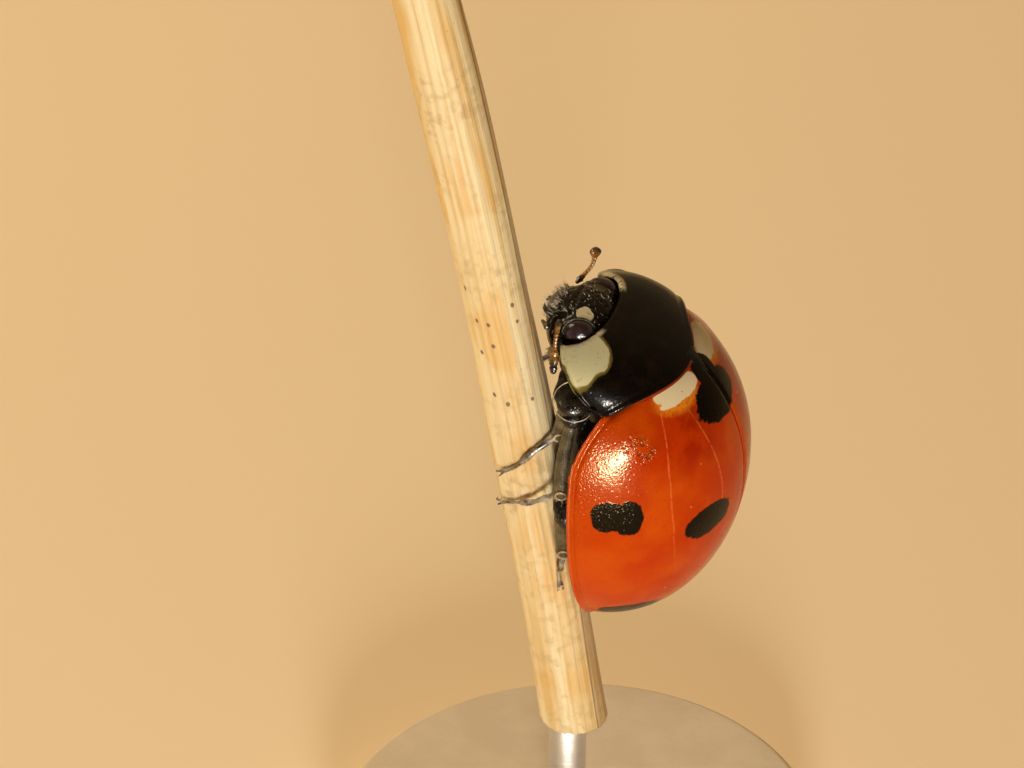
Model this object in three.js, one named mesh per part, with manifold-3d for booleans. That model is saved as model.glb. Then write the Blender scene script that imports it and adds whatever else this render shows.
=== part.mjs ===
// A seven-spot ladybird climbing a dry grass stem, on a plain display stand.
// Units are millimetres, +Z is up, and the origin is the centre of the base's underside.
//
// The insect is modelled in its own frame: x towards the head, y to its left, z out of its
// back, and z = 0 in the plane of the wing-case rims. It is then stood on its tail end.

import * as THREE from 'three';
import { mergeVertices } from 'three/addons/utils/BufferGeometryUtils.js';
import Module from 'manifold-3d';

const wasm = await Module();
wasm.setup();

// ---------------------------------------------------------------- driving dimensions

const GAP = 0.02; // clearance between neighbouring solids

const INSECT_AT = [0.6, 0.4, 10.2]; // the insect's own origin on the stand
const INSECT_TURN = THREE.MathUtils.degToRad(17.5); // its back, turned to the front

const BASE = { radius: 4.5, thickness: 1.2, chamfer: 0.15 };
const ROD = { radius: 0.35, inBase: 0.8, inStem: 1.6 };

const STEM = { radius: 0.62, bottom: 4.0, top: 21.3 };
const STEM_OFFSET = -1.54; // the stem's axis beside the insect's origin
const STEM_LEAN = 0.153; // its sideways run per unit of height there
const STEM_BOW = 0.0022; // and the growth of that lean
const STEM_RIDGES = 11;
const STEM_RIDGE_HEIGHT = 0.025;

const DOME = { front: 2.95, rear: 3.52, side: 2.65, up: 2.6 }; // the closed wing cases
const RIM_DROP = 0.08; // how far their rim hangs below z = 0
const WING_CASE_THICKNESS = 0.5;
const COLLAR_X = 2.1; // where wing cases and pronotum meet on the back
const COLLAR_SWAY = 0.17; // how far that line bows forward on either side
const WAIST_X = 0.25; // where thorax and abdomen meet
const BELLY_DEPTH = 0.5; // of the underside below z = 0
const SCUTELLUM = { length: 0.42, halfWidth: 0.24 };

// The prothorax: the middle of its back, its side edge and the middle underneath, each a
// curve from the hind edge, over a pull point, to the front edge.
const PROTHORAX_BACK = [[1.95, 0, 1.95], [2.72, 0, 1.33], [3.04, 0, 0.12]];
const PROTHORAX_SIDE = [[1.95, 1.94, 0.14], [2.64, 1.86, -0.1], [2.88, 1.15, -0.6]];
const PROTHORAX_BELOW = [[1.95, 0, -0.6], [2.35, 0, -0.82], [2.58, 0, -0.92]];
const PRONOTUM_HEM = 0.1; // how far the pronotum hangs below that side edge

const HEAD = { at: [2.56, 0, -0.5], size: [0.68, 0.93, 0.7] };
const LABRUM = { at: [2.78, 0, -0.99], size: [0.36, 0.46, 0.33] };
const EYE = { at: [2.97, 0.73, -0.38], size: [0.24, 0.25, 0.3] };

const FEELER_RADIUS = 0.25;
const ANTENNA_LEFT = [[2.95, 0.6, -0.95], [2.7, 1.08, -0.98], [2.28, 1.34, -0.88]];
const ANTENNA_RIGHT = [[2.95, -0.6, -0.88], [3.08, -0.98, -0.76], [3.28, -1.24, -0.7]];
const PALP = [[2.5, 0.3, -1.05], [2.56, 0.42, -1.25], [2.68, 0.36, -1.42]];

// Each leg: hip, knee, ankle, then the line of the foot to its claws.
const LEGS = {
  front_left: {
    hip: [2.25, 0.45, -0.86], knee: [1.9, 1.42, -0.34], ankle: [1.0, 1.27, -0.66],
    foot: [[0.55, 1.5, -1.02], [0.22, 1.58, -1.3], [-0.05, 1.46, -1.74]],
  },
  mid_left: {
    hip: [1.15, 0.55, -0.5], knee: [1.45, 1.4, -0.28], ankle: [-0.16, 1.6, -0.45],
    foot: [[-0.46, 1.66, -0.95], [-0.7, 1.56, -1.42], [-0.9, 1.3, -1.86]],
  },
  hind_left: {
    hip: [0.1, 0.6, -0.5], knee: [-0.6, 1.74, -0.36], ankle: [-1.56, 1.56, -0.5],
    foot: [[-2.0, 1.5, -0.6], [-2.4, 1.42, -0.66], [-2.78, 1.34, -0.66]],
  },
  front_right: {
    hip: [2.25, -0.45, -0.86], knee: [1.75, -1.35, -0.8], ankle: [1.5, -0.2, -1.38],
    foot: [[1.32, 0.06, -1.62], [1.18, 0.14, -1.86], [1.05, 0.3, -2.1]],
  },
  mid_right: {
    hip: [1.15, -0.55, -0.5], knee: [0.9, -1.6, -0.6], ankle: [-0.1, -0.2, -1.05],
    foot: [[-0.4, 0.02, -1.34], [-0.65, 0.1, -1.7], [-0.85, 0.4, -2.02]],
  },
  hind_right: {
    hip: [0.1, -0.6, -0.5], knee: [-1.15, -1.5, -0.5], ankle: [-2.0, -0.3, -0.76],
    foot: [[-2.4, -0.08, -0.98], [-2.8, 0.0, -1.2], [-3.15, 0.2, -1.42]],
  },
};
const LEG_RADIUS = { hip: 0.34, thigh: 0.28, shin: 0.25, foot: 0.25 };

const LOOKS = {
  red: { color: 0xc43a12, roughness: 0.3 },
  black: { color: 0x17130f, roughness: 0.35 },
  brown: { color: 0x5a4326, roughness: 0.45 },
  eye: { color: 0x2d1e2c, roughness: 0.15 },
  straw: { color: 0xd9b66a, roughness: 0.7 },
  base: { color: 0xcfc8bb, roughness: 0.6 },
  steel: { color: 0xb9bcc0, roughness: 0.35, metalness: 1 },
};

// ---------------------------------------------------------------- making solids

const vector = (point) => new THREE.Vector3(...point);
const mirrored = ([x, y, z]) => [x, -y, z];

function solidOf(geometry, fineness = 1e-5) {
  const bare = geometry.clone();
  bare.deleteAttribute('normal');
  bare.deleteAttribute('uv');
  const merged = mergeVertices(bare, fineness);
  return new wasm.Manifold(new wasm.Mesh({
    numProp: 3,
    vertProperties: merged.attributes.position.array,
    triVerts: new Uint32Array(merged.index.array),
  }));
}

function geometryOf(solid) {
  const mesh = solid.getMesh();
  const geometry = new THREE.BufferGeometry();
  geometry.setAttribute('position', new THREE.BufferAttribute(mesh.vertProperties, 3));
  geometry.setIndex(new THREE.BufferAttribute(mesh.triVerts, 1));
  geometry.computeVertexNormals();
  return geometry;
}

// The largest piece that is left once edges shorter than a micrometre are closed up.
function mainPiece(solid) {
  const pieces = solidOf(geometryOf(solid), 1e-3).decompose();
  return pieces.reduce((best, piece) => (piece.volume() > best.volume() ? piece : best));
}

// A solid from a geometry, with every vertex moved to the point that a rule gives for it.
function shaped(geometry, rule) {
  const position = geometry.attributes.position;
  const vertex = new THREE.Vector3();
  for (let i = 0; i < position.count; i += 1) {
    const moved = rule(vertex.fromBufferAttribute(position, i));
    position.setXYZ(i, moved.x, moved.y, moved.z);
  }
  return solidOf(geometry);
}

// A round body whose reach may differ forward and back, and up and down.
function lobe({ front, rear, side, up, down }, [x, y, z], around, rings) {
  return shaped(new THREE.SphereGeometry(1, around, rings), (p) => new THREE.Vector3(
    x + p.x * (p.x > 0 ? front : rear),
    y + p.y * side,
    z + p.z * (p.z > 0 ? up : down),
  ));
}

function ellipsoid({ at, size }, grow, around = 14, rings = 8) {
  const [x, y, z] = size.map((half) => half + grow);
  return lobe({ front: x, rear: x, side: y, up: z, down: z }, at, around, rings);
}

function block([x0, y0, z0], [x1, y1, z1]) {
  const box = new THREE.BoxGeometry(x1 - x0, y1 - y0, z1 - z0);
  return solidOf(box.translate((x0 + x1) / 2, (y0 + y1) / 2, (z0 + z1) / 2));
}

// A round-ended limb along a smooth line.
function limb(points, radius, sides = 6) {
  const curve = new THREE.CatmullRomCurve3(points.map(vector));
  const reach = curve.getLength();
  const steps = points.length > 2 ? Math.ceil(reach / 0.35) : 1;
  return shaped(new THREE.CapsuleGeometry(1, reach, 2, sides, steps), (p) => {
    const along = THREE.MathUtils.clamp(p.y / reach + 0.5, 0, 1);
    const beyond = p.y - (along - 0.5) * reach;
    const tangent = curve.getTangentAt(along);
    const across = new THREE.Vector3(0.31, 0.17, 1).cross(tangent).normalize();
    const other = new THREE.Vector3().crossVectors(across, tangent);
    return curve.getPointAt(along)
      .addScaledVector(tangent, beyond * radius)
      .addScaledVector(across, p.x * radius)
      .addScaledVector(other, p.z * radius);
  });
}

// ---------------------------------------------------------------- the insect's parts
// Each takes how far its surface grows outward, so that a neighbour can be cut clear of it.

// The dome of the closed wing cases, or the body under them, with a depth below z = 0.
function dome(grow, depth, around, rings) {
  const [front, rear, side, up] = [DOME.front, DOME.rear, DOME.side, DOME.up]
    .map((reach) => reach + grow);
  return lobe({ front, rear, side, up, down: depth }, [0, 0, 0], around, rings);
}

const underWingCases = (grow, depth) => dome(grow - WING_CASE_THICKNESS, depth, 20, 12);

function wingCases(grow) {
  return dome(grow, DOME.up, 34, 20)
    .intersect(block([-5, -5, -RIM_DROP - grow], [5, 5, 5]))
    .subtract(underWingCases(-grow, DOME.up));
}

// All that lies ahead of the line where the wing cases end on the back.
function aheadOfCollar(shift) {
  const reach = 5;
  const backRadius = 1.85;
  const drum = new THREE.CylinderGeometry(reach, reach, 1, 20, 1);
  return shaped(drum, (p) => {
    const sway = COLLAR_SWAY * Math.abs(Math.sin(2 * Math.atan2(p.z, p.x)));
    const bow = sway * (Math.hypot(p.x, p.z) / backRadius);
    const x = p.y < 0 ? COLLAR_X + shift + bow : COLLAR_X + reach;
    return new THREE.Vector3(x, p.z, p.x);
  });
}

function scutellumPrism(grow) {
  const base = COLLAR_X + 0.3;
  const half = SCUTELLUM.halfWidth + grow;
  const shape = new THREE.Shape([
    new THREE.Vector2(COLLAR_X - SCUTELLUM.length - grow, 0),
    new THREE.Vector2(base, -half),
    new THREE.Vector2(base, half),
  ]);
  return solidOf(new THREE.ExtrudeGeometry(shape, { depth: DOME.up + 1, bevelEnabled: false }));
}

function scutellum(grow) {
  return wingCases(grow).intersect(scutellumPrism(grow)).subtract(aheadOfCollar(grow));
}

function wingCase(side, grow) {
  const inner = side * (GAP / 2 - grow);
  const half = block([-5, Math.min(inner, side * 5), -1], [5, Math.max(inner, side * 5), 5]);
  return wingCases(grow).intersect(half)
    .subtract(aheadOfCollar(grow))
    .subtract(scutellumPrism(GAP - grow));
}

// The prothorax as a loft of closed rings from its hind edge to its front edge.
function prothorax(grow) {
  const lines = [PROTHORAX_BACK, PROTHORAX_SIDE, PROTHORAX_BELOW]
    .map((points) => new THREE.QuadraticBezierCurve3(...points.map(vector)));
  const loft = shaped(new THREE.CylinderGeometry(1, 1, 1, 24, 4), (p) => {
    const along = p.y + 0.5;
    const [back, side, below] = lines.map((line) => line.getPoint(along));
    const angle = Math.atan2(p.x, p.z);
    const crown = p.x > 0 ? back : below;
    const squareness = p.x > 0 ? THREE.MathUtils.lerp(1, 0.7, along) : 1;
    const rise = Math.abs(Math.sin(angle)) ** squareness;
    const rim = new THREE.Vector3(
      side.x + (crown.x - side.x) * rise,
      side.y * Math.cos(angle),
      side.z + (crown.z - side.z) * rise,
    );
    const middle = back.clone().lerp(below, 0.5);
    const outward = rim.clone().sub(middle).normalize();
    return middle.lerp(rim.addScaledVector(outward, grow), Math.hypot(p.x, p.z));
  });
  return loft.intersect(aheadOfCollar(GAP - grow));
}

// All that lies above the side edges of the prothorax.
function aboveSideEdge(grow) {
  const [x0, , z0] = PROTHORAX_SIDE[0];
  const [x1, , z1] = PROTHORAX_SIDE[2];
  const slope = (z1 - z0) / (x1 - x0);
  const hemAt = (x) => z0 + slope * (x - x0) - PRONOTUM_HEM - grow;
  const shape = new THREE.Shape([
    new THREE.Vector2(1, hemAt(1)),
    new THREE.Vector2(4, hemAt(4)),
    new THREE.Vector2(4, 4),
    new THREE.Vector2(1, 4),
  ]);
  const prism = new THREE.ExtrudeGeometry(shape, { depth: 8, bevelEnabled: false });
  return solidOf(prism.translate(0, 0, -4).rotateX(Math.PI / 2));
}

const pronotum = (grow) => prothorax(grow).intersect(aboveSideEdge(grow));
const prosternum = (grow) => prothorax(grow).subtract(aboveSideEdge(GAP - grow));

function trunk(grow) {
  return underWingCases(grow - GAP, BELLY_DEPTH + grow)
    .subtract(aheadOfCollar(-grow))
    .subtract(scutellum(GAP - grow));
}

const thorax = (grow) => trunk(grow).intersect(block([WAIST_X + GAP / 2 - grow, -5, -5], [5, 5, 5]));
const abdomen = (grow) => trunk(grow).intersect(block([-5, -5, -5], [WAIST_X - GAP / 2 + grow, 5, 5]));

// ---------------------------------------------------------------- stem and stand

function stemAxis(height) {
  const rise = height - INSECT_AT[2];
  const aside = STEM_OFFSET - STEM_LEAN * rise - STEM_BOW * rise * rise;
  return new THREE.Vector3(INSECT_AT[0] + aside, 0, height);
}

function stem(grow) {
  const length = STEM.top - STEM.bottom;
  const straw = new THREE.CylinderGeometry(1, 1, 1, 2 * STEM_RIDGES, 8);
  return shaped(straw, (p) => {
    const centre = stemAxis(STEM.bottom + (p.y + 0.5) * length);
    const ridge = STEM_RIDGE_HEIGHT * Math.cos(STEM_RIDGES * Math.atan2(p.z, p.x));
    const radius = STEM.radius + grow + ridge;
    return centre.add(new THREE.Vector3(p.x * radius, -p.z * radius, 0));
  });
}

function rod(grow) {
  const low = BASE.thickness - ROD.inBase - grow;
  const high = STEM.bottom + ROD.inStem + grow;
  const radius = ROD.radius + grow;
  const bar = new THREE.CylinderGeometry(radius, radius, high - low, 16);
  return solidOf(bar.rotateX(Math.PI / 2).translate(0, 0, (low + high) / 2));
}

function base() {
  const { radius, thickness, chamfer } = BASE;
  const profile = [
    [0, 0], [radius - chamfer, 0], [radius, chamfer],
    [radius, thickness - chamfer], [radius - chamfer, thickness], [0, thickness],
  ].map(([r, height]) => new THREE.Vector2(r, height));
  return solidOf(new THREE.LatheGeometry(profile, 32).rotateX(Math.PI / 2));
}

// ---------------------------------------------------------------- assembly

const model = new THREE.Group();
const insect = new THREE.Group();
insect.setRotationFromMatrix(new THREE.Matrix4().makeBasis(
  new THREE.Vector3(0, 0, 1),
  new THREE.Vector3(-Math.sin(INSECT_TURN), -Math.cos(INSECT_TURN), 0),
  new THREE.Vector3(Math.cos(INSECT_TURN), -Math.sin(INSECT_TURN), 0),
));
insect.position.set(...INSECT_AT);
insect.updateMatrix();
model.add(insect);

function addNode(group, name, solid, look) {
  const material = new THREE.MeshStandardMaterial(LOOKS[look]);
  const mesh = new THREE.Mesh(geometryOf(solid), material);
  mesh.name = name;
  group.add(mesh);
}

// The parts made so far, grown by the gap: a later part is cut clear of all of them.
const claimed = [stem(GAP).transform(insect.matrix.clone().invert().elements)];

function settle(name, make, look) {
  const free = claimed.reduce((rest, other) => rest.subtract(other), make(0));
  addNode(insect, name, mainPiece(free), look);
  claimed.push(make(GAP));
}

settle('scutellum', scutellum, 'black');
settle('elytron_left', (grow) => wingCase(1, grow), 'red');
settle('elytron_right', (grow) => wingCase(-1, grow), 'red');
settle('eye_left', (grow) => ellipsoid(EYE, grow, 12, 8), 'eye');
settle('eye_right', (grow) => ellipsoid({ ...EYE, at: mirrored(EYE.at) }, grow, 12, 8), 'eye');
settle('head', (grow) => ellipsoid(HEAD, grow, 16, 10), 'black');
settle('labrum', (grow) => ellipsoid(LABRUM, grow), 'black');
settle('pronotum', pronotum, 'black');
settle('prosternum', prosternum, 'black');
settle('thorax', thorax, 'black');
settle('abdomen', abdomen, 'black');

for (const [name, { hip, knee, ankle, foot }] of Object.entries(LEGS)) {
  const bulb = { at: hip, size: [LEG_RADIUS.hip, LEG_RADIUS.hip, LEG_RADIUS.hip] };
  settle(`leg_${name}_coxa`, (grow) => ellipsoid(bulb, grow, 8, 6), 'black');
  settle(`leg_${name}_femur`, (grow) => limb([hip, knee], LEG_RADIUS.thigh + grow), 'black');
  settle(`leg_${name}_tibia`, (grow) => limb([knee, ankle], LEG_RADIUS.shin + grow), 'brown');
  settle(`leg_${name}_tarsus`, (grow) => limb([ankle, ...foot], LEG_RADIUS.foot + grow), 'brown');
}

settle('antenna_left', (grow) => limb(ANTENNA_LEFT, FEELER_RADIUS + grow), 'brown');
settle('antenna_right', (grow) => limb(ANTENNA_RIGHT, FEELER_RADIUS + grow), 'brown');
settle('palp_left', (grow) => limb(PALP, FEELER_RADIUS + grow), 'brown');
settle('palp_right', (grow) => limb(PALP.map(mirrored), FEELER_RADIUS + grow), 'brown');

const rodAt = stemAxis(STEM.bottom + ROD.inStem / 2);
const placedRod = (grow) => rod(grow).translate([rodAt.x, rodAt.y, 0]);
addNode(model, 'stem', stem(0).subtract(placedRod(GAP)), 'straw');
addNode(model, 'stand_rod', placedRod(0), 'steel');
addNode(model, 'stand_base', base().subtract(placedRod(GAP)), 'base');

export default model;
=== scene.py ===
"""Looks of a seven-spot ladybird that climbs a dry grass stem on a plain display stand.

Shapes are worked out in millimetres. Those of the insect are in its own frame: x towards the
head, y to its left, z out of its back, with z = 0 in the plane of the wing-case rims.
"""

import functools
import math

import bmesh
import bpy
import numpy as np
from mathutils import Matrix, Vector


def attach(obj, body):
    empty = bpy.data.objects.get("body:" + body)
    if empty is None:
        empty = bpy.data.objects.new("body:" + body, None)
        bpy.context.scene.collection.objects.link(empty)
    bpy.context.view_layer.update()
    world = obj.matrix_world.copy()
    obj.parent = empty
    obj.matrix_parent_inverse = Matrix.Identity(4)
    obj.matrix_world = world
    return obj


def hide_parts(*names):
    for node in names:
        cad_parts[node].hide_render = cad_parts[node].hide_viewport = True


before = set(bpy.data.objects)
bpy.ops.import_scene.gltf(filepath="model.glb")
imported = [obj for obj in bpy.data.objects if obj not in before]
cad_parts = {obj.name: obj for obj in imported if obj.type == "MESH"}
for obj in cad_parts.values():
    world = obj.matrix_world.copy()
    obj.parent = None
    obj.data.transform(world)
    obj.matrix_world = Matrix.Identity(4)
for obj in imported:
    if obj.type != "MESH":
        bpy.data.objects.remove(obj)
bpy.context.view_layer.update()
rng = np.random.default_rng(7)

# ------------------------------------------------------------------ driving dimensions

MM = 0.001
STAND_AXES = ((1, 0, 0), (0, 1, 0), (0, 0, 1))

INSECT_AT = np.array([0.6, 0.4, 10.2])
INSECT_TURN = math.radians(17.5)
INSECT_AXES = np.array([
    [0, 0, 1],
    [-math.sin(INSECT_TURN), -math.cos(INSECT_TURN), 0],
    [math.cos(INSECT_TURN), -math.sin(INSECT_TURN), 0],
])

DOME = {"front": 2.95, "rear": 3.52, "side": 2.65, "up": 2.6}
COLLAR_X = 2.36
COLLAR_FALL = 0.38
SHOULDER_AT = math.radians(66)
SHOULDER_ROUND = 1.13
WING_CASE_WALL = 0.09
EPIPLEURON_WIDTH = 0.45
BELLY = {"front": 2.42, "rear": 2.99, "side": 2.12, "up": 2.07, "down": 0.5}
WAIST_X = 0.25
WAIST_GAP = 0.04
THORAX_FRONT_X = 2.25

PROTHORAX_BACK = [[1.95, 0, 1.95], [2.72, 0, 1.33], [3.04, 0, 0.12]]
PROTHORAX_SIDE = [[1.95, 1.76, 0.36], [2.6, 2.05, -0.335], [2.88, 1.15, -0.6]]
NECK_BEND = (-1.692, 0.576, 0.586, -0.329, 2.311)
PROTHORAX_BELOW = [[1.95, 0, -0.6], [2.35, 0, -0.82], [2.58, 0, -0.92]]

HEAD_AT = np.array([2.56, 0, -0.5])
HEAD_SIZE = np.array([0.66, 0.9, 0.68])
SNOUT_AT = np.array([2.82, 0, -0.86])
SNOUT_SIZE = np.array([0.34, 0.48, 0.33])
EYE_AT = np.array([2.85, 0.67, -0.39])
EYE_SIZE = np.array([0.27, 0.25, 0.3])

ANTENNA_LEFT = [[3.0, 0.6, -0.8], [2.86, 0.88, -0.77], [2.64, 1.06, -0.75], [2.33, 1.25, -0.71]]
ANTENNA_RIGHT = [[3.03, -0.6, -0.82], [3.09, -0.76, -0.75], [3.2, -0.94, -0.65], [3.33, -1.1, -0.64],
                 [3.2, -1.42, -0.73]]
PALP = [[2.6, 0.24, -1.0], [2.64, 0.37, -1.04], [2.68, 0.43, -1.09], [2.74, 0.41, -1.15]]

# Each leg's hip, knee and ankle, and three places along its foot.
LEGS = {
    "front_left": ([[2.05, 0.5, -0.56], [1.9, 1.5, -0.24], [0.85, 1.18, -0.6]],
                   [[0.55, 1.5, -1.02], [0.22, 1.58, -1.3], [-0.04, 1.5, -1.62]]),
    "mid_left": ([[1.15, 0.55, -0.5], [1.45, 1.4, -0.28], [-0.16, 1.6, -0.45]],
                 [[-0.46, 1.66, -0.95], [-0.7, 1.56, -1.42], [-0.86, 1.4, -1.72]]),
    "hind_left": ([[0.1, 0.6, -0.5], [-0.6, 1.72, -0.3], [-1.56, 1.56, -0.41]],
                  [[-2.0, 1.5, -0.47], [-2.33, 1.38, -0.52], [-2.6, 1.3, -0.56]]),
    "front_right": ([[2.05, -0.5, -0.56], [1.75, -1.3, -0.7], [1.49, -0.35, -1.16]],
                    [[1.32, 0.06, -1.62], [1.18, 0.14, -1.86], [1.05, 0.3, -2.1]]),
    "mid_right": ([[1.15, -0.55, -0.5], [0.9, -1.6, -0.6], [-0.1, -0.2, -1.05]],
                  [[-0.4, 0.02, -1.34], [-0.65, 0.1, -1.7], [-0.85, 0.4, -2.02]]),
    "hind_right": ([[0.1, -0.6, -0.5], [-1.15, -1.5, -0.5], [-2.0, -0.3, -0.76]],
                   [[-2.4, -0.08, -0.98], [-2.8, 0.0, -1.2], [-3.15, 0.2, -1.42]]),
}

STEM = {"radius": 0.62, "bottom": 4.0, "top": 21.3, "ridges": 21, "ridge_height": 0.013}
# The cut ends from the hollow outwards: height past the end, share of the radius, raggedness.
STEM_CUT = [(-0.45, 0.45, -1), (0.0, 0.5, 0), (0.06, 0.9, 1)]
STEM_OFFSET = -1.54
STEM_LEAN = 0.153
STEM_BOW = 0.0022
SHEATH_EDGE = {"height": 11.62, "angle": -0.44, "twist": 0.037}
SHEATH_FAR_EDGE = 2.6
SHEATH_THICKNESS = 0.024
SHEATH_SHARPNESS = 60
STEM_SPECKS = [
    (13.62, -2.24), (13.61, -1.84), (13.12, -1.82), (12.87, -2.31), (11.94, -2.13),
    (11.78, -1.73), (14.01, -0.95), (13.62, -0.89), (14.31, -2.48), (11.83, -0.93),
]
ROD = {"radius": 0.35, "bottom": 0.4, "top": 5.6, "bevel": 0.04, "x_height": 4.8}
BASE = {"radius": 4.5, "thickness": 1.2, "rounding": 0.15}

VIEW_ELEVATION = math.radians(38)
VIEW_WIDTH = 18.9
VIEW_DISTANCE = 420.0
VIEW_AIM = (-1.81, 1.006)
SENSOR_WIDTH = 36
CLIP_RANGE = (0.01, 20)

# ------------------------------------------------------------------ shapes
# A shape is (points, faces), its points being rows of x, y, z.


def unit(vectors):
    return vectors / np.maximum(np.linalg.norm(vectors, axis=-1, keepdims=True), 1e-12)


def bell(value, centre, width):
    return np.exp(-(((value - centre) / width) ** 2))


def away_from(points, place, size=1):
    """How far the points are from a place, in sizes."""
    return np.linalg.norm((points - place) / size, axis=-1)


def lump(points, place, width):
    """1 at a place, falling off around it."""
    return bell(away_from(points, place), 0, width)


def folded_over(points):
    """The points, with those of the right side brought over to the left."""
    return np.abs(points * [0, 1, 0]) + points * [1, 0, 1]


def round_turn(count):
    """Evenly spaced angles all the way round."""
    return np.linspace(0, 2 * math.pi, count, endpoint=False)


def to_stand(points):
    return INSECT_AT + np.asarray(points, float) @ INSECT_AXES


def to_insect(points):
    return (np.asarray(points, float) - INSECT_AT) @ INSECT_AXES.T


def mirrored(shape):
    points, faces = shape
    return points * [1, -1, 1], [face[::-1] for face in faces]


def joined(*shapes):
    points, faces, start = [], [], 0
    for more_points, more_faces in shapes:
        points.append(more_points)
        faces += [tuple(start + i for i in face) for face in more_faces]
        start += len(more_points)
    return np.concatenate(points), faces


def grid_faces(rows, columns, closed=False):
    faces = []
    for i in range(rows - 1):
        for j in range(columns if closed else columns - 1):
            k = (j + 1) % columns
            here, there = i * columns, (i + 1) * columns
            faces.append((here + j, here + k, there + k, there + j))
    return faces


def grid_normals(grid):
    return unit(np.cross(np.gradient(grid, axis=1), np.gradient(grid, axis=0)))


def border_of(rows, columns):
    """The places round the edge of a grid, in order."""
    path = [(0, j) for j in range(columns)]
    path += [(i, columns - 1) for i in range(1, rows)]
    path += [(rows - 1, j) for j in range(columns - 2, -1, -1)]
    path += [(i, 0) for i in range(rows - 2, 0, -1)]
    return np.array(path)


def slab(grid, thickness):
    """A closed plate on the far side of a grid from its normals, with a rounded edge."""
    rows, columns, _ = grid.shape
    normals = grid_normals(grid)
    inner = grid - normals * thickness
    border = border_of(rows, columns)
    inside = np.clip(border, 1, [rows - 2, columns - 2])
    i, j = border.T
    edge = grid[i, j]
    across = unit(np.cross(np.roll(edge, -1, 0) - np.roll(edge, 1, 0), normals[i, j]))
    away = np.sign((across * (edge - grid[inside[:, 0], inside[:, 1]])).sum(-1))
    rim = (edge + inner[i, j]) / 2 + across * away[:, None] * thickness / 2
    points = np.concatenate([grid.reshape(-1, 3), inner.reshape(-1, 3), rim])
    count = rows * columns
    top = grid_faces(rows, columns)
    faces = top + [tuple(count + k for k in face[::-1]) for face in top]
    places = i * columns + j
    for k, place in enumerate(places):
        m = (k + 1) % len(places)
        low, high = 2 * count + k, 2 * count + m
        faces.append((places[m], place, low, high))
        faces.append((high, low, count + place, count + places[m]))
    return points, faces


def tube(rings):
    """A closed body through rings of points, with a point at either end."""
    rows, sides, _ = rings.shape
    points = np.concatenate([rings.reshape(-1, 3), rings[0].mean(0)[None], rings[-1].mean(0)[None]])
    faces = grid_faces(rows, sides, closed=True)
    first, last = rows * sides, rows * sides + 1
    for j in range(sides):
        k = (j + 1) % sides
        faces.append((first, k, j))
        faces.append((last, (rows - 1) * sides + j, (rows - 1) * sides + k))
    return points, faces


def ball(at, size, fineness=4):
    """An evenly meshed ellipsoid."""
    sphere = bmesh.new()
    bmesh.ops.create_icosphere(sphere, subdivisions=fineness, radius=1)
    sphere.verts.index_update()
    points = np.array([vertex.co for vertex in sphere.verts])
    faces = [tuple(vertex.index for vertex in face.verts) for face in sphere.faces]
    sphere.free()
    return np.asarray(at) + points * size, faces


def turned(profile, sides=96):
    """A body turned about the upright axis from a profile of (radius, height) points."""
    angle = round_turn(sides)
    radius, height = np.array(profile, float).T
    rings = np.stack([radius[:, None] * np.cos(angle), radius[:, None] * np.sin(angle),
                      np.repeat(height[:, None], sides, 1)], -1)
    return tube(rings)


def eased(share, knots):
    """A value that eases from knot to knot, each knot being (share, value)."""
    shares, values = np.array(knots, float).T
    index = np.clip(np.searchsorted(shares, share, side="right") - 1, 0, len(shares) - 2)
    step = np.clip((share - shares[index]) / (shares[index + 1] - shares[index]), 0, 1)
    return values[index] + (values[index + 1] - values[index]) * step * step * (3 - 2 * step)


SPLINE_STEPS = 24
CAP_RINGS = 5
CAP_OPENING = 0.02


def spline(points, count):
    """Evenly spaced points on a smooth line through the given ones."""
    p = np.asarray(points, float)
    p = np.concatenate([[2 * p[0] - p[1]], p, [2 * p[-1] - p[-2]]])
    t = np.linspace(0, 1, SPLINE_STEPS)[:, None]
    line = np.concatenate([
        0.5 * (2 * b + (c - a) * t + (2 * a - 5 * b + 4 * c - d) * t**2 + (3 * b - a - 3 * c + d) * t**3)
        for a, b, c, d in zip(p, p[1:], p[2:], p[3:])
    ])
    reach = np.concatenate([[0], np.cumsum(np.linalg.norm(np.diff(line, axis=0), axis=1))])
    even = np.linspace(0, reach[-1], count)
    return np.stack([np.interp(even, reach, line[:, k]) for k in range(3)], -1)


def limb_rings(points, knots, flat=1.0, broad=(0, 0, 1), sides=20, count=28):
    """Rings of a round-ended limb along a line. Its radius eases from knot to knot, and it
    is flat times as thick across the broad direction as along it."""
    line = spline(points, count)
    tangent = unit(np.gradient(line, axis=0))
    radius = eased(np.linspace(0, 1, count), knots)
    turn = np.linspace(0, math.pi / 2, CAP_RINGS + 1)[1:]
    lead = line[0] - tangent[0] * (radius[0] * np.sin(turn[::-1]))[:, None]
    tail = line[-1] + tangent[-1] * (radius[-1] * np.sin(turn))[:, None]
    line = np.concatenate([lead, line, tail])
    ends = [np.repeat(end, CAP_RINGS, 0) for end in (tangent[:1], tangent[-1:])]
    tangent = np.concatenate([ends[0], tangent, ends[1]])
    close = np.cos(turn) + CAP_OPENING
    radius = np.concatenate([radius[0] * close[::-1], radius, radius[-1] * close])
    thin = unit(np.cross(tangent, np.asarray(broad, float)))
    wide = np.cross(thin, tangent)
    angle = round_turn(sides)[:, None]
    spoke = wide[:, None] * np.cos(angle) + thin[:, None] * np.sin(angle) * flat
    return line[:, None] + spoke * radius[:, None, None]


def limb(*line_and_knots, **settings):
    return tube(limb_rings(*line_and_knots, **settings))


# ------------------------------------------------------------------ pieces


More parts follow.
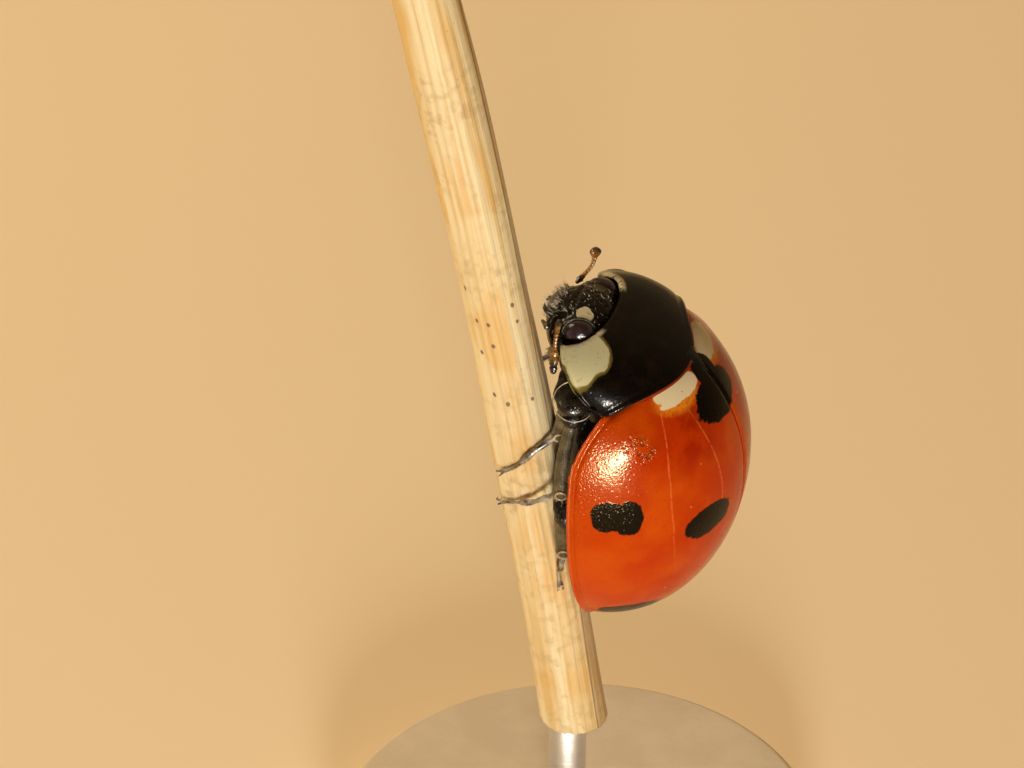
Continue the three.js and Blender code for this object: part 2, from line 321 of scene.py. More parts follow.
def piece(name, shape, paint, replaces=(), on_stand=False):
    """One named piece of the model, which rides on its one body."""
    points, faces = shape
    mesh = bpy.data.meshes.new(name)
    mesh.from_pydata(((points if on_stand else to_stand(points)) * MM).tolist(), [], faces)
    work = bmesh.new()
    work.from_mesh(mesh)
    bmesh.ops.recalc_face_normals(work, faces=work.faces)
    work.to_mesh(mesh)
    work.free()
    mesh.shade_smooth()
    mesh.materials.append(paint)
    made = bpy.data.objects.new(name, mesh)
    bpy.context.scene.collection.objects.link(made)
    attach(made, "root")
    if replaces:
        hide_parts(*replaces)
    return made


HAIR_SIDES = 3
HAIR_ROOT_DEPTH = 0.06
HAIR_MIDDLE = 0.55
TUFT_PATCH = 0.003
PATCH_STEP = 2.4
HAIR_LENGTH_RANGE = (0.6, 1.25)
HAIR_BEND_SPREAD = 0.12


def coat(name, tufts, paint):
    """Hairs joined into one piece. Each tuft batch holds roots, ways, lengths, thicknesses,
    the bend of the tips, and the roots' places on an unwrap of the surface."""
    roots, ways, lengths, thick, bend, unwrap = [np.concatenate(part) for part in zip(*tufts)]
    ways = unit(ways)
    side = unit(np.cross(ways, [0.31, 0.52, 0.8]))
    other = np.cross(ways, side)
    turn = round_turn(HAIR_SIDES)[:, None]
    spoke = side[:, None] * np.cos(turn) + other[:, None] * np.sin(turn)
    reach, width = lengths[:, None, None], thick[:, None, None]
    way, curl = ways[:, None], bend[:, None]
    low = roots[:, None] + spoke * width - way * reach * HAIR_ROOT_DEPTH
    middle = roots[:, None] + spoke * width * 0.75 + (way * HAIR_MIDDLE + curl * 0.3) * reach
    tip = roots[:, None] + (way + curl) * reach
    block = np.concatenate([low, middle, tip], 1)
    per_hair = 2 * HAIR_SIDES + 1
    pattern = [(2, 1, 0)]
    for j in range(HAIR_SIDES):
        k = (j + 1) % HAIR_SIDES
        pattern.append((j, k, HAIR_SIDES + k, HAIR_SIDES + j))
        pattern.append((HAIR_SIDES + j, HAIR_SIDES + k, 2 * HAIR_SIDES))
    faces = [tuple(h * per_hair + i for i in face) for h in range(len(roots)) for face in pattern]
    made = piece(name, (block.reshape(-1, 3), faces), paint)
    swirl = np.arange(per_hair) * PATCH_STEP
    spread = np.stack([np.cos(swirl), np.sin(swirl)], -1) * TUFT_PATCH / 2
    places = (unwrap[:, None] + spread).reshape(-1, 2)
    corners = np.zeros(len(made.data.loops), np.int32)
    made.data.loops.foreach_get("vertex_index", corners)
    layer = made.data.uv_layers.new(name="OFBake")
    layer.uv.foreach_set("vector", np.clip(places[corners], 0, 1).astype(np.float32).ravel())
    return made


def batch(roots, ways, length, thickness, unwrap, bend=(0, 0, 0)):
    """A tuft batch whose lengths and bends vary a little from hair to hair."""
    count = len(roots)
    lengths = length * rng.uniform(*HAIR_LENGTH_RANGE, count)
    bends = np.asarray(bend, float) + rng.normal(0, HAIR_BEND_SPREAD, (count, 3))
    return roots, ways, lengths, np.full(count, thickness), bends, unwrap


def on_rings(rings, count, start=0.0, end=1.0):
    """Random places on a limb: roots, outward directions, directions along it, and unwrap."""
    rows, sides, _ = rings.shape
    along = rng.uniform(start, end, count)
    row = np.clip((along * (rows - 1)).astype(int), 0, rows - 2)
    column = rng.integers(0, sides, count)
    share = (along * (rows - 1) - row)[:, None]
    roots = rings[row, column] * (1 - share) + rings[row + 1, column] * share
    centre = rings[row].mean(1) * (1 - share) + rings[row + 1].mean(1) * share
    forward = unit(rings[row + 1].mean(1) - rings[row].mean(1))
    return roots, unit(roots - centre), forward, np.stack([along, column / sides], -1)


def cell(unwrap, index, across=6):
    """The unwrap of one limb, in a square of its own among those of the others."""
    return (unwrap * 0.9 + 0.05 + [index % across, index // across]) / across

# ------------------------------------------------------------------ paints


class Value:
    """A number, vector or colour in a node tree, on which sums can be written."""

    def __init__(self, nodes, socket):
        self.nodes = nodes
        self.socket = socket

    def math(self, operation, *values):
        return self.nodes.node("Math", {"operation": operation}, dict(enumerate(values)))

    def vector(self, operation, other):
        return self.nodes.node("VectorMath", {"operation": operation}, {0: self, 1: other})

    def __add__(self, other):
        return self.math("ADD", self, other)

    def __sub__(self, other):
        return self.math("SUBTRACT", self, other)

    def __rsub__(self, other):
        return self.math("SUBTRACT", other, self)

    def __mul__(self, other):
        return self.math("MULTIPLY", self, other)

    def __truediv__(self, other):
        return self.math("DIVIDE", self, other)

    def __rtruediv__(self, other):
        return self.math("DIVIDE", other, self)

    def __pow__(self, other):
        return self.math("POWER", self, other)

    def __abs__(self):
        return self.math("ABSOLUTE", self)

    __radd__ = __add__
    __rmul__ = __mul__

    def most(self, other):
        return self.math("MAXIMUM", self, other)

    def angle_from(self, other):
        """The angle of the place (other, self) from the first axis."""
        return self.math("ARCTAN2", self, other)

    def rise(self, low, high):
        """0 up to low, 1 from high on, and smooth between them."""
        return self.nodes.node("MapRange", {"interpolation_type": "SMOOTHSTEP"},
                               {"Value": self, "From Min": low, "From Max": high})

    def bump_at(self, centre, width):
        """1 where the value is centre, falling smoothly to 0 at width away."""
        return 1 - abs(self - centre).rise(0, width)

    def dot(self, other):
        return self.nodes.node(
            "VectorMath", {"operation": "DOT_PRODUCT"}, {0: self, 1: other}, "Value")

    def along(self, axes):
        """How far the vector reaches along each axis."""
        return [self.dot(tuple(axis)) for axis in axes]

    def reach(self):
        return self.nodes.node("VectorMath", {"operation": "LENGTH"}, {0: self}, "Value")


def any_of(masks):
    """1 where any of the masks is 1."""
    return functools.reduce(Value.most, masks)


class Nodes:
    """A node tree that is built from nothing."""

    def __init__(self, owner):
        owner.use_nodes = True
        self.tree = owner.node_tree
        self.tree.nodes.clear()

    def node(self, kind, settings, inputs, output=0):
        """One node with its settings and the values or links of its sockets."""
        made = self.tree.nodes.new("ShaderNode" + kind)
        for name, value in settings.items():
            setattr(made, name, value)
        for name, value in inputs.items():
            self.feed(made.inputs[name], value)
        return Value(self, made.outputs[output]) if made.outputs else None

    def feed(self, socket, value):
        if isinstance(value, Value):
            self.tree.links.new(value.socket, socket)
        elif isinstance(value, (tuple, list)) and socket.type == "RGBA":
            socket.default_value = (*value, 1)
        else:
            socket.default_value = value

    def mix(self, share, low, high):
        """A colour between low and high."""
        return self.node("Mix", {"data_type": "RGBA"}, {0: share, 6: low, 7: high}, 2)

    def place(self, x, y, z):
        return self.node("CombineXYZ", {}, {0: x, 1: y, 2: z})


class Paint(Nodes):
    """A procedural finish on one Principled shader."""

    def __init__(self, name, specular=0.5, ior=1.5, **constants):
        self.material = bpy.data.materials.new(name)
        super().__init__(self.material)
        shader = self.node("BsdfPrincipled", {}, {})
        self.node("OutputMaterial", {}, {"Surface": shader})
        self.inputs = shader.socket.node.inputs
        self.set(specular_ior_level=specular, ior=ior, **constants)

    def set(self, **inputs):
        """Feeds the shader's sockets, each by its name in small letters."""
        for name, value in inputs.items():
            self.feed(self.inputs[name.replace("_", " ").title().replace("Ior", "IOR")], value)
        return self

    def finished(self, colour, roughness):
        """The material, once its colour and roughness are linked."""
        return self.set(base_color=colour, roughness=roughness).material

    def stand_place(self):
        """The place on the surface in the stand's own millimetres."""
        place = self.node("TexCoord", {}, {}, "Object")
        return place.vector("MULTIPLY", (1 / MM,) * 3)

    def insect_place(self):
        """The place on the surface in the insect's millimetres, with its x, y and z."""
        from_insect = self.stand_place().vector("SUBTRACT", tuple(INSECT_AT))
        x, y, z = from_insect.along(INSECT_AXES)
        return self.place(x, y, z), x, y, z

    def noise(self, place, scale, detail=2.0):
        """Clouds, scale of them to a millimetre."""
        return self.node("TexNoise", {}, {"Vector": place, "Scale": scale, "Detail": detail})

    def cells(self, place, scale):
        """How far the place is from the nearest of many scattered points, in cells."""
        return self.node("TexVoronoi", {}, {"Vector": place, "Scale": scale}, "Distance")

    def relief(self, height, depth):
        """Raises the surface by depth millimetres where height is 1."""
        return self.set(normal=self.node("Bump", {}, {"Height": height, "Distance": depth * MM}))

    def oval(self, place, centre, along, across, wobble, soft=0.05):
        """1 inside an oval on the wing cases, whose centre (x, y) is a place on their dome."""
        x, y = centre
        reach = DOME["front"] if x > 0 else DOME["rear"]
        z = DOME["up"] * math.sqrt(1 - (x / reach) ** 2 - (y / DOME["side"]) ** 2)
        normal = unit(np.array([x / reach**2, y / DOME["side"] ** 2, z / DOME["up"] ** 2]))
        sideways = unit(np.cross(normal, [1, 0, 0]))
        forward = np.cross(sideways, normal)
        away = place.vector("SUBTRACT", (x, y, z))
        u = away.dot(tuple(sideways / across))
        v = away.dot(tuple(forward / along))
        return 1 - ((u * u + v * v) ** 0.5 + wobble).rise(1 - soft, 1 + soft)


RED = (0.43, 0.031, 0.0005)
DEEP_RED = (0.26, 0.010, 0.0003)
ORANGE = (0.50, 0.062, 0.001)
PALE_RED = (0.70, 0.26, 0.09)
BLACK = (0.004, 0.0025, 0.0014)
CREAM = (0.64, 0.60, 0.36)
WING_CREAM = (0.74, 0.62, 0.39)
OLIVE = (0.16, 0.12, 0.02)
PALE_VEIN = (0.78, 0.20, 0.05)
RUST = (0.72, 0.22, 0.012)
SCAR_BROWN = (0.2, 0.03, 0.002)
WARM_GLOSS = (1, 0.82, 0.5)
BROWN_BLACK = (0.010, 0.006, 0.0025)
# Painted shade: the colour of the right pronotal patch where it is darkened.
PATCH_IN_PAINTED_SHADE = (0.03, 0.024, 0.008)
SILVERY = (0.55, 0.48, 0.34)
PATCH_VEIN = (0.3, 0.25, 0.12)
NECK_BROWN = (0.24, 0.03, 0.004)
HEAD_SPOT = (0.46, 0.40, 0.24)
# Painted shade: the right head spot, darkened.
HEAD_SPOT_IN_PAINTED_SHADE = (0.06, 0.045, 0.016)

# Ovals on the wing cases: the centre's x and y, half its length and half its width. Those
# of the side spots are on both wing cases.
PALE_PATCHES = [((2.17, 0.84), 0.235, 0.54), ((2.02, 1.14), 0.07, 0.26), ((2.22, -0.62), 0.27, 0.58)]
RUSTY_EDGES = [((2.07, 0.96), 0.28, 0.5), ((2.16, -0.7), 0.32, 0.6)]
SHARED_SPOT = [((1.70, 0.19), 0.43, 0.71), ((2.08, 0.06), 0.40, 0.33)]
SIDE_SPOTS = [
    ((0.22, 2.545), 0.34, 0.27), ((0.17, 2.40), 0.375, 0.30), ((0.205, 2.48), 0.31, 0.3),
    ((-0.45, 1.2), 0.355, 0.585), ((-2.7, 1.47), 0.34, 0.6),
]
SCAR_AT = (1.47, 1.95, 1.17)
VEIN_WIDTH = 0.012


def wing_case_ground(paint, at, x, out, z, grain):
    """Orange-red with darker clouds, two pale veins, flecks, a painted highlight along the rim
    and a dark seam.
    """
    around = (out / DOME["side"]).angle_from(z / DOME["up"])
    colour = paint.mix(paint.noise(at, 1.1, 3).rise(0.35, 0.7), RED, ORANGE)
    colour = paint.mix(z.rise(1.5, 0.2) * 0.45, colour, ORANGE)
    shade = around.bump_at(0.55, 0.42) * x.rise(0.5, 1.3) * paint.noise(at, 2.6, 3).rise(0.38, 0.6)
    colour = paint.mix(shade * 0.75, colour, DEEP_RED)
    colour = paint.mix(grain.rise(0.62, 0.75) * 0.35, colour, DEEP_RED)
    waver = (paint.noise(at, 3, 2) - 0.5) * 0.03
    outer_vein = (around + (x - 0.5) ** 2 * 0.02 - 0.81 + waver).bump_at(0, VEIN_WIDTH)
    inner_vein = (around - x * x * 0.042 - 0.345 + waver * 0.4).bump_at(0, VEIN_WIDTH)
    veins = outer_vein.most(inner_vein) * x.rise(-1.9, 0.4) * grain.rise(0.25, 0.6)
    colour = paint.mix(veins * 0.5, colour, PALE_VEIN)
    flecks = 1 - paint.cells(at, 2.3).rise(0.035, 0.06)
    colour = paint.mix(flecks * 0.8, colour, PALE_RED)
    # Painted highlight: a pale line along the beaded rim, where light glints off the bead.
    rim = z.bump_at(0.03, 0.035) * x.rise(-2.5, 0.5)
    colour = paint.mix(rim * 0.3, colour, PALE_RED)
    return paint.mix(1 - out.rise(0.012, 0.03), colour, DEEP_RED)


def wing_case_paint():
    """The orange-red ground with black spots, pale patches at the base, a scar and fine pits."""
    paint = Paint("wing_case", 0.125, specular_tint=WARM_GLOSS)
    at, x, y, z = paint.insect_place()
    out = abs(y)
    folded = paint.place(x, out, z)
    grain = paint.noise(at, 14, 3)
    wobble = (paint.noise(at, 4, 2) - 0.5) * 0.34 + (paint.noise(at, 16, 2) - 0.5) * 0.14
    colour = wing_case_ground(paint, at, x, out, z, grain)

    patch = any_of(paint.oval(at, *oval, wobble) for oval in PALE_PATCHES)
    rust = any_of(paint.oval(at, *oval, wobble, 0.3) for oval in RUSTY_EDGES)
    colour = paint.mix(rust * grain.rise(0.1, 0.6), colour, RUST)
    colour = paint.mix(patch, colour, WING_CREAM)
    dots = (1 - paint.cells(at, 7).rise(0.1, 0.16)) * paint.noise(at, 3).rise(0.55, 0.6)
    colour = paint.mix(patch * dots, colour, BLACK)

    spots = any_of([paint.oval(at, *oval, wobble) for oval in SHARED_SPOT]
                   + [paint.oval(folded, *oval, wobble) for oval in SIDE_SPOTS])
    colour = paint.mix(spots, colour, BLACK)

    scar = paint.place(x - SCAR_AT[0], y - SCAR_AT[1], (z - SCAR_AT[2]) * 0.7).reach()
    scarred = (1 - scar.rise(0.12, 0.34)) * paint.noise(at, 9, 3).rise(0.45, 0.62)
    colour = paint.mix(scarred * 0.8, colour, SCAR_BROWN)

    pits = paint.cells(at, 14).rise(0.05, 0.4)
    height = pits * 0.22 + paint.noise(at, 5, 2) * 0.2 + paint.noise(at, 25, 2) * 0.38 - scarred * 1.5
    rough_edge = 1 + (1 - z.rise(0.15, 0.75)) * 1.5 + spots * (1 - z.rise(0.9, 1.5)) * 1.7
    paint.relief(height * rough_edge, 0.011)
    return paint.finished(colour, 0.13 + grain * 0.1)


def shell_colour(paint, at):
    return paint.mix(paint.noise(at, 3, 3).rise(0.4, 0.75), BLACK, BROWN_BLACK)


PATCH_OUT = 1.28
PATCH_Z = -0.12
PATCH_LOWER_ON_RIGHT = 0.36
PATCH_RADIUS = 0.5
PRONOTUM_FRONT_X = 2.88


def pronotum_paint():
    """Glossy black, with a cream patch in an olive border at each front corner, the right one set
    lower and its upper part darkened as painted shade, a pale fringe before the eyes that is
    partly a painted silvery highlight, and a brown edge at the neck."""
    paint = Paint("pronotum", 0.13)
    at, x, y, z = paint.insect_place()
    out = abs(y)
    on_right = 1 - y.rise(-0.5, 0.0)
    wobble = (paint.noise(at, 7, 2) - 0.5) * 0.06
    side = out - PATCH_OUT
    # The right patch is set lower than the left, so black covers its upper part as painted shade.
    rise = z - PATCH_Z + on_right * PATCH_LOWER_ON_RIGHT
    swing = rise.angle_from(side)
    dents = swing.bump_at(0.91, 0.5) * 0.07 + swing.bump_at(-0.75, 0.8) * 0.11
    outside = (side * side + rise * rise) ** 0.5 - (PATCH_RADIUS - dents + wobble)
    hem = (z + (x - 2.5) * 1.25 + 0.36).rise(-0.02, 0.02)
    room = hem * x.rise(2.3, 2.36)
    border = (1 - outside.rise(0.0, 0.05)) * room
    patch = (1 - outside.rise(-0.035, -0.005)) * room
    # Painted shade: the upper part of the right patch and of its border is darkened.
    painted_shade_right = on_right * z.rise(-0.6, -0.25)
    colour = paint.mix(border, shell_colour(paint, at), paint.mix(painted_shade_right, OLIVE, BLACK))
    colour = paint.mix(patch, colour, paint.mix(painted_shade_right, CREAM, PATCH_IN_PAINTED_SHADE))
    # A pale fringe along the front edge before the eyes; its silvery look is partly a painted highlight.
    front_edge = (x - PRONOTUM_FRONT_X - (z + 0.6) * 0.222).rise(-0.045, -0.015)
    silvery = front_edge * out.rise(0.55, 0.75) * paint.noise(at, 13, 2).rise(0.3, 0.5)
    colour = paint.mix(silvery, colour, SILVERY)
    vein = (1 - paint.noise(at, 11, 3).rise(0.33, 0.4)) * patch
    colour = paint.mix(vein * 0.25, colour, PATCH_VEIN)
    around = (y / DOME["side"]).angle_from(z / DOME["up"]) * (2 / math.pi)
    neck = functools.reduce(lambda total, factor: around * total + factor, NECK_BEND)
    colour = paint.mix(1 - (x - neck).rise(0.0, 0.035), colour, NECK_BROWN)
    pits = paint.cells(at, 12).rise(0.04, 0.22)
    corner = x.rise(2.45, 2.1) * out.rise(1.1, 1.5)
    height = pits * 0.5 + paint.noise(at, 9, 3) * 0.5 + paint.noise(at, 22, 2) * corner * 2.5
    paint.relief(height, 0.005)
    return paint.finished(colour, 0.16 + paint.noise(at, 12) * 0.12)


def black_shell_paint():
    """Black with a brown cast here and there, and fine pits."""
    paint = Paint("black_shell", 0.2)
    at, *_ = paint.insect_place()
    pits = paint.cells(at, 14).rise(0.08, 0.4)
    paint.relief(pits * 0.7 + paint.noise(at, 11, 3) * 0.6, 0.008)
    return paint.finished(shell_colour(paint, at), 0.24 + paint.noise(at, 9) * 0.2)


EYE_SPOT_AT = (3.15, 0.43, -0.36)
EYE_SPOT_STRETCH = 0.6


def head_paint():
    """Pitted glossy black, with a pale spot beside each eye, the right one darkened as painted shade."""
    paint = Paint("head", 0.2)
    at, x, y, z = paint.insect_place()
    out = abs(y)
    spot_x, spot_out, spot_z = EYE_SPOT_AT
    away = paint.place((x - spot_x) * EYE_SPOT_STRETCH, out - spot_out, z - spot_z).reach()
    spot = 1 - (away + (paint.noise(at, 8) - 0.5) * 0.08).rise(0.15, 0.17)
    # Painted shade: the spot on the right side of the head is darkened.
    spot_with_painted_shade = paint.mix(y.rise(-0.2, 0.2), HEAD_SPOT_IN_PAINTED_SHADE, HEAD_SPOT)
    colour = paint.mix(spot, shell_colour(paint, at), spot_with_painted_shade)
    pits = paint.cells(at, 9).rise(0.06, 0.5)
    paint.relief(pits * (1 - spot * 0.7) + paint.noise(at, 20, 3) * 0.25, 0.03)
    return paint.finished(colour, 0.1 + paint.noise(at, 12) * 0.1)


def eye_paint():
    """Purplish black with fine facets."""
    paint = Paint("eye", 0.45)
    at, *_ = paint.insect_place()
    facets = paint.cells(at, 38)
    colour = paint.mix(paint.noise(at, 6, 2).rise(0.35, 0.65), (0.016, 0.008, 0.011), (0.04, 0.02, 0.026))
    paint.relief(1 - facets, 0.004)
    return paint.finished(colour, 0.16)


def eye_rim_paint():
    """Dark, with a painted silvery highlight on the part behind the eye."""
    paint = Paint("eye_rim", 0.12)
    at, x, *_ = paint.insect_place()
    # Painted highlight: pale silvery clouds on the rim behind the eye.
    behind = (1 - x.rise(2.78, 2.95)) * paint.noise(at, 14, 2).rise(0.3, 0.5)
    colour = paint.mix(behind, (0.03, 0.022, 0.015), (0.50, 0.42, 0.32))
    paint.relief(paint.noise(at, 24, 2), 0.01)
    return paint.finished(colour, 0.15)


def leg_paint(name, dark, light, roughness):
    """Clouded between two colours, and pitted."""
    paint = Paint(name, 0.32)
    at, *_ = paint.insect_place()
    colour = paint.mix(paint.noise(at, 5, 3).rise(0.35, 0.7), dark, light)
    pits = paint.cells(at, 17).rise(0.05, 0.4)
    paint.relief(pits + paint.noise(at, 22, 3) * 0.5, 0.008)
    return paint.finished(colour, roughness + paint.noise(at, 10) * 0.2)


FEELER_ROOT_AT = (3.02, 0.6, -0.82)


def antenna_paint():
    """Golden brown, dark at the root and at the end of the club."""
    paint = Paint("antenna")
    at, x, y, z = paint.insect_place()
    out = abs(y)
    colour = paint.mix(paint.noise(at, 9, 2).rise(0.3, 0.7), (0.38, 0.17, 0.018), (0.20, 0.08, 0.010))
    left_tip = out.rise(1.19, 1.22) * (1 - x.rise(2.5, 2.8))
    tip = left_tip + out.rise(0.95, 1.2) * x.rise(2.9, 3.0) * 0.8
    colour = paint.mix(tip, colour, (0.03, 0.016, 0.014))
    root_x, root_out, root_z = FEELER_ROOT_AT
    root = 1 - paint.place(x - root_x, out - root_out, z - root_z).reach().rise(0.1, 0.2)
    colour = paint.mix(root, colour, (0.03, 0.015, 0.006))
    paint.relief(paint.noise(at, 30, 3), 0.006)
    return paint.finished(colour, 0.28 - tip * 0.12)


def hair_paint(name, colour):
    paint = Paint(name, 0.4)
    at, *_ = paint.insect_place()
    shade = paint.mix(paint.noise(at, 12), colour, tuple(0.7 * c for c in colour))
    return paint.finished(shade, 0.3)


# The sheath's brown is partly painted shade down the stem's right side.
SHEATH_BROWN_AND_SHADE = (0.34, 0.20, 0.08)
EDGE_BROWN = (0.12, 0.06, 0.025)
SPECK_BROWN = (0.05, 0.025, 0.02)


def sheath_edge(height):
    """The angle round the stem of the sheath's edge, for numbers and for a paint's values."""
    return (height - SHEATH_EDGE["height"]) * SHEATH_EDGE["twist"] + SHEATH_EDGE["angle"]


def stem_speck(around, height, grain, speck_height, speck_angle):
    """1 in a small speck with a ragged edge."""
    aside_gap = (around - speck_angle) * STEM["radius"]
    up_gap = (height - speck_height) * 0.8
    away = (aside_gap * aside_gap + up_gap * up_gap) ** 0.5 + (grain - 0.5) * 0.05
    return 1 - away.rise(0.025, 0.05)


def straw_paint():
    """Dry straw: pale, with soft golden streaks, a brown sheath that is partly painted shade down
    the right side, a dark line at its edge and small dark specks.
    """
    paint = Paint("straw", 0.3, 1.45)
    at = paint.stand_place()
    x, y, z = at.along(STAND_AXES)
    height = z - INSECT_AT[2]
    aside = x - INSECT_AT[0] - STEM_OFFSET + height * STEM_LEAN + height * height * STEM_BOW
    around = y.angle_from(aside)
    streaks = paint.place(aside, y, z * 0.05)
    fine = paint.noise(streaks, 12, 3)
    broad = paint.noise(streaks, 2.6, 2)
    patches = paint.noise(at, 0.45, 2)
    colour = paint.mix(broad.rise(0.4, 0.62), (0.72, 0.60, 0.36), (0.66, 0.49, 0.23))
    colour = paint.mix(fine.rise(0.5, 0.7) * 0.45, colour, (0.78, 0.69, 0.46))
    colour = paint.mix(fine.rise(0.46, 0.34) * 0.3, colour, (0.60, 0.41, 0.19))
    gold = patches.rise(0.5, 0.62) * broad.rise(0.38, 0.55)
    colour = paint.mix(gold * 0.6, colour, (0.62, 0.37, 0.10))
    colour = paint.mix(z.rise(16.0, 20.0) * broad.rise(0.35, 0.6) * 0.7, colour, (0.60, 0.38, 0.12))
    mottle = paint.noise(at, 5, 3).rise(0.45, 0.7) * paint.noise(at, 0.8, 2).rise(0.42, 0.62)
    colour = paint.mix(mottle * 0.5, colour, (0.42, 0.27, 0.10))
    # The sheath's brown over the stem's right side is partly painted shade.
    beyond_edge = around - sheath_edge(z)
    colour = paint.mix(beyond_edge.rise(0.0, 0.05) * 0.5, colour, SHEATH_BROWN_AND_SHADE)
    edge_line = (beyond_edge + fine * 0.06 - 0.03).bump_at(0, 0.055)
    colour = paint.mix(edge_line * 0.85, colour, EDGE_BROWN)
    specks = any_of(stem_speck(around, z, fine, *speck) for speck in STEM_SPECKS)
    freckle = (1 - paint.cells(at, 5).rise(0.05, 0.11)) * paint.noise(at, 1.7).rise(0.5, 0.6)
    colour = paint.mix(specks.most(freckle * 0.5) * 0.85, colour, SPECK_BROWN)
    paint.relief(fine * 0.8 + paint.noise(streaks, 30, 2) * 0.4, 0.01)
    return paint.finished(colour, 0.5 + fine * 0.2)


def steel_paint():
    """Steel brushed round the rod."""
    paint = Paint("rod_steel", metallic=1.0)
    at = paint.stand_place()
    x, y, z = at.along(STAND_AXES)
    around = paint.place(x * 0.5, y * 0.5, z * 22)
    brushed = paint.noise(around, 3, 3)
    colour = paint.mix(brushed, (0.50, 0.49, 0.47), (0.66, 0.65, 0.63))
    paint.relief(brushed, 0.004)
    return paint.finished(colour, 0.25 + brushed * 0.2)


def base_paint():
    """Matt sand-coloured resin with a faint cloud and grain."""
    paint = Paint("base_resin", 0.4, 1.45)
    at = paint.stand_place()
    colour = paint.mix(paint.noise(at, 1.2, 4).rise(0.3, 0.7), (0.60, 0.50, 0.37), (0.66, 0.56, 0.43))
    paint.relief(paint.noise(at, 9, 4), 0.006)
    return paint.finished(colour, 0.5 + paint.noise(at, 5) * 0.12)


def floor_paint():
    """Plain pale card."""
    paint = Paint("floor_card", 0.2)
    at = paint.stand_place()
    colour = paint.mix(paint.noise(at, 0.05, 2), (0.87, 0.71, 0.49), (0.90, 0.735, 0.515))
    return paint.finished(colour, 0.9)


# ------------------------------------------------------------------ wing cases


BEAD_FROM = math.radians(70)
SHOULDER_LUMP_AT = [1.55, 1.95, 1.1]
SHOULDER_DENT_AT = [1.35, 2.0, 1.25]
LINE_STEPS = 900
SEAM_GAP = 0.006
TAIL_GAP = 0.03
HEM_DROP = 0.024
LEDGE_START = 1.36
LEDGE_WALL = 0.05
LEDGE_SET_IN = 0.22


def dome_points(along, around):
    """Places on the closed wing cases: along runs from the head end (0) to the tail (pi),
    around from the middle of the back (0) to the rim (pi / 2)."""
    reach = np.where(np.cos(along) > 0, DOME["front"], DOME["rear"])
    ring = np.sin(along)
    return np.stack([np.cos(along) * reach, DOME["side"] * np.sin(around) * ring,
                     DOME["up"] * np.cos(around) * ring], -1)


def dome_normals(points):
    reach = np.where(points[..., 0] > 0, DOME["front"], DOME["rear"])
    size = np.stack([reach, np.full_like(reach, DOME["side"]), np.full_like(reach, DOME["up"])], -1)
    return unit(points / size**2)


def collar(around):
    """How far forward the wing cases reach at each place around the back: furthest in the
    middle, and rounded off at the shoulders."""
    past = np.clip((around - SHOULDER_AT) / (math.pi / 2 - SHOULDER_AT), 0, 1)
    front = COLLAR_X - COLLAR_FALL * (around * 2 / math.pi) ** 2 + 0.13 * bell(around, 0.79, 0.47)
    return front - SHOULDER_ROUND * (1 - np.sqrt(1 - past**2))


def distance_to(points, line):
    """How far each place of a grid is from a line of points."""
    steps = np.linspace(0, len(line) - 1, LINE_STEPS)
    fine = np.stack([np.interp(steps, np.arange(len(line)), line[:, k]) for k in range(3)], -1)
    gap = np.full(points.shape[:-1], np.inf)
    for place in fine:
        gap = np.minimum(gap, ((points - place) ** 2).sum(-1))
    return np.sqrt(gap)


def wing_case_relief(points, around):
    """A beaded rim over a groove, a front edge tucked below the pronotum, a sunk seam, a
    swollen shoulder and a shallow dent on it."""
    shoulder_start = np.searchsorted(around, BEAD_FROM)
    edge = distance_to(points, np.concatenate([points[0, shoulder_start:], points[1:, -1]]))
    rim = 0.03 * bell(edge, 0.025, 0.03) - 0.028 * bell(edge, 0.1, 0.035)
    tuck = 0.07 + 0.16 * bell(around, 1.12, 0.22)
    front = points[0, :shoulder_start + 4]
    rim -= tuck * bell(distance_to(points, front), 0, 0.14)
    seam = -0.03 * bell(points[..., 1], 0, 0.03)
    shoulder = 0.05 * lump(points, SHOULDER_LUMP_AT, 0.4)
    dent = -0.012 * lump(points, SHOULDER_DENT_AT, 0.12)
    return rim + seam + shoulder + dent


def wing_case():
    """The left wing case, from the seam to the rim, with a hem turned in below the rim."""
    rows, columns = 130, 110
    share = np.linspace(0, 1, columns)
    around = SEAM_GAP + (math.pi / 2 - SEAM_GAP) * (1 - (1 - share) ** 1.7)
    first = np.arccos(collar(around) / DOME["front"])
    along = first + (math.pi - TAIL_GAP - first) * np.linspace(0, 1, rows)[:, None]
    points = dome_points(along, np.broadcast_to(around, along.shape))
    points = points + dome_normals(points) * wing_case_relief(points, around)[..., None]
    fold = np.clip(np.arange(rows) / 14, 0.12, 1)[:, None, None]
    hem = points[:, -1:] + np.array([[0, -0.006, -0.014], [0, -0.03, -HEM_DROP]]) * fold
    points, faces = slab(np.concatenate([points, hem], 1), WING_CASE_WALL)
    return np.maximum(points, [-np.inf, -np.inf, -HEM_DROP]), faces


def epipleuron():
    """The flat ledge turned in below the rim of a wing case."""
    along = np.linspace(LEDGE_START, math.pi - 0.12, 90)[:, None]
    inward = np.linspace(LEDGE_SET_IN, 1, 9)
    edge = dome_points(along, np.full_like(along, math.pi / 2))
    towards_tail = np.minimum(1, np.sin(along) * 1.6)
    width = EPIPLEURON_WIDTH * towards_tail * np.minimum(1, 0.3 + (along - LEDGE_START) * 3)
    points = edge - dome_normals(edge) * (inward * width)[..., None]
    points[..., 2] = 0.05 * inward**2 - 0.02 * np.sin(inward * math.pi)
    return slab(points, LEDGE_WALL)


def wing_cases(paint):
    left = joined(wing_case(), epipleuron())
    piece("wing_case_left", left, paint, ["elytron_left"])
    piece("wing_case_right", mirrored(left), paint, ["elytron_right"])


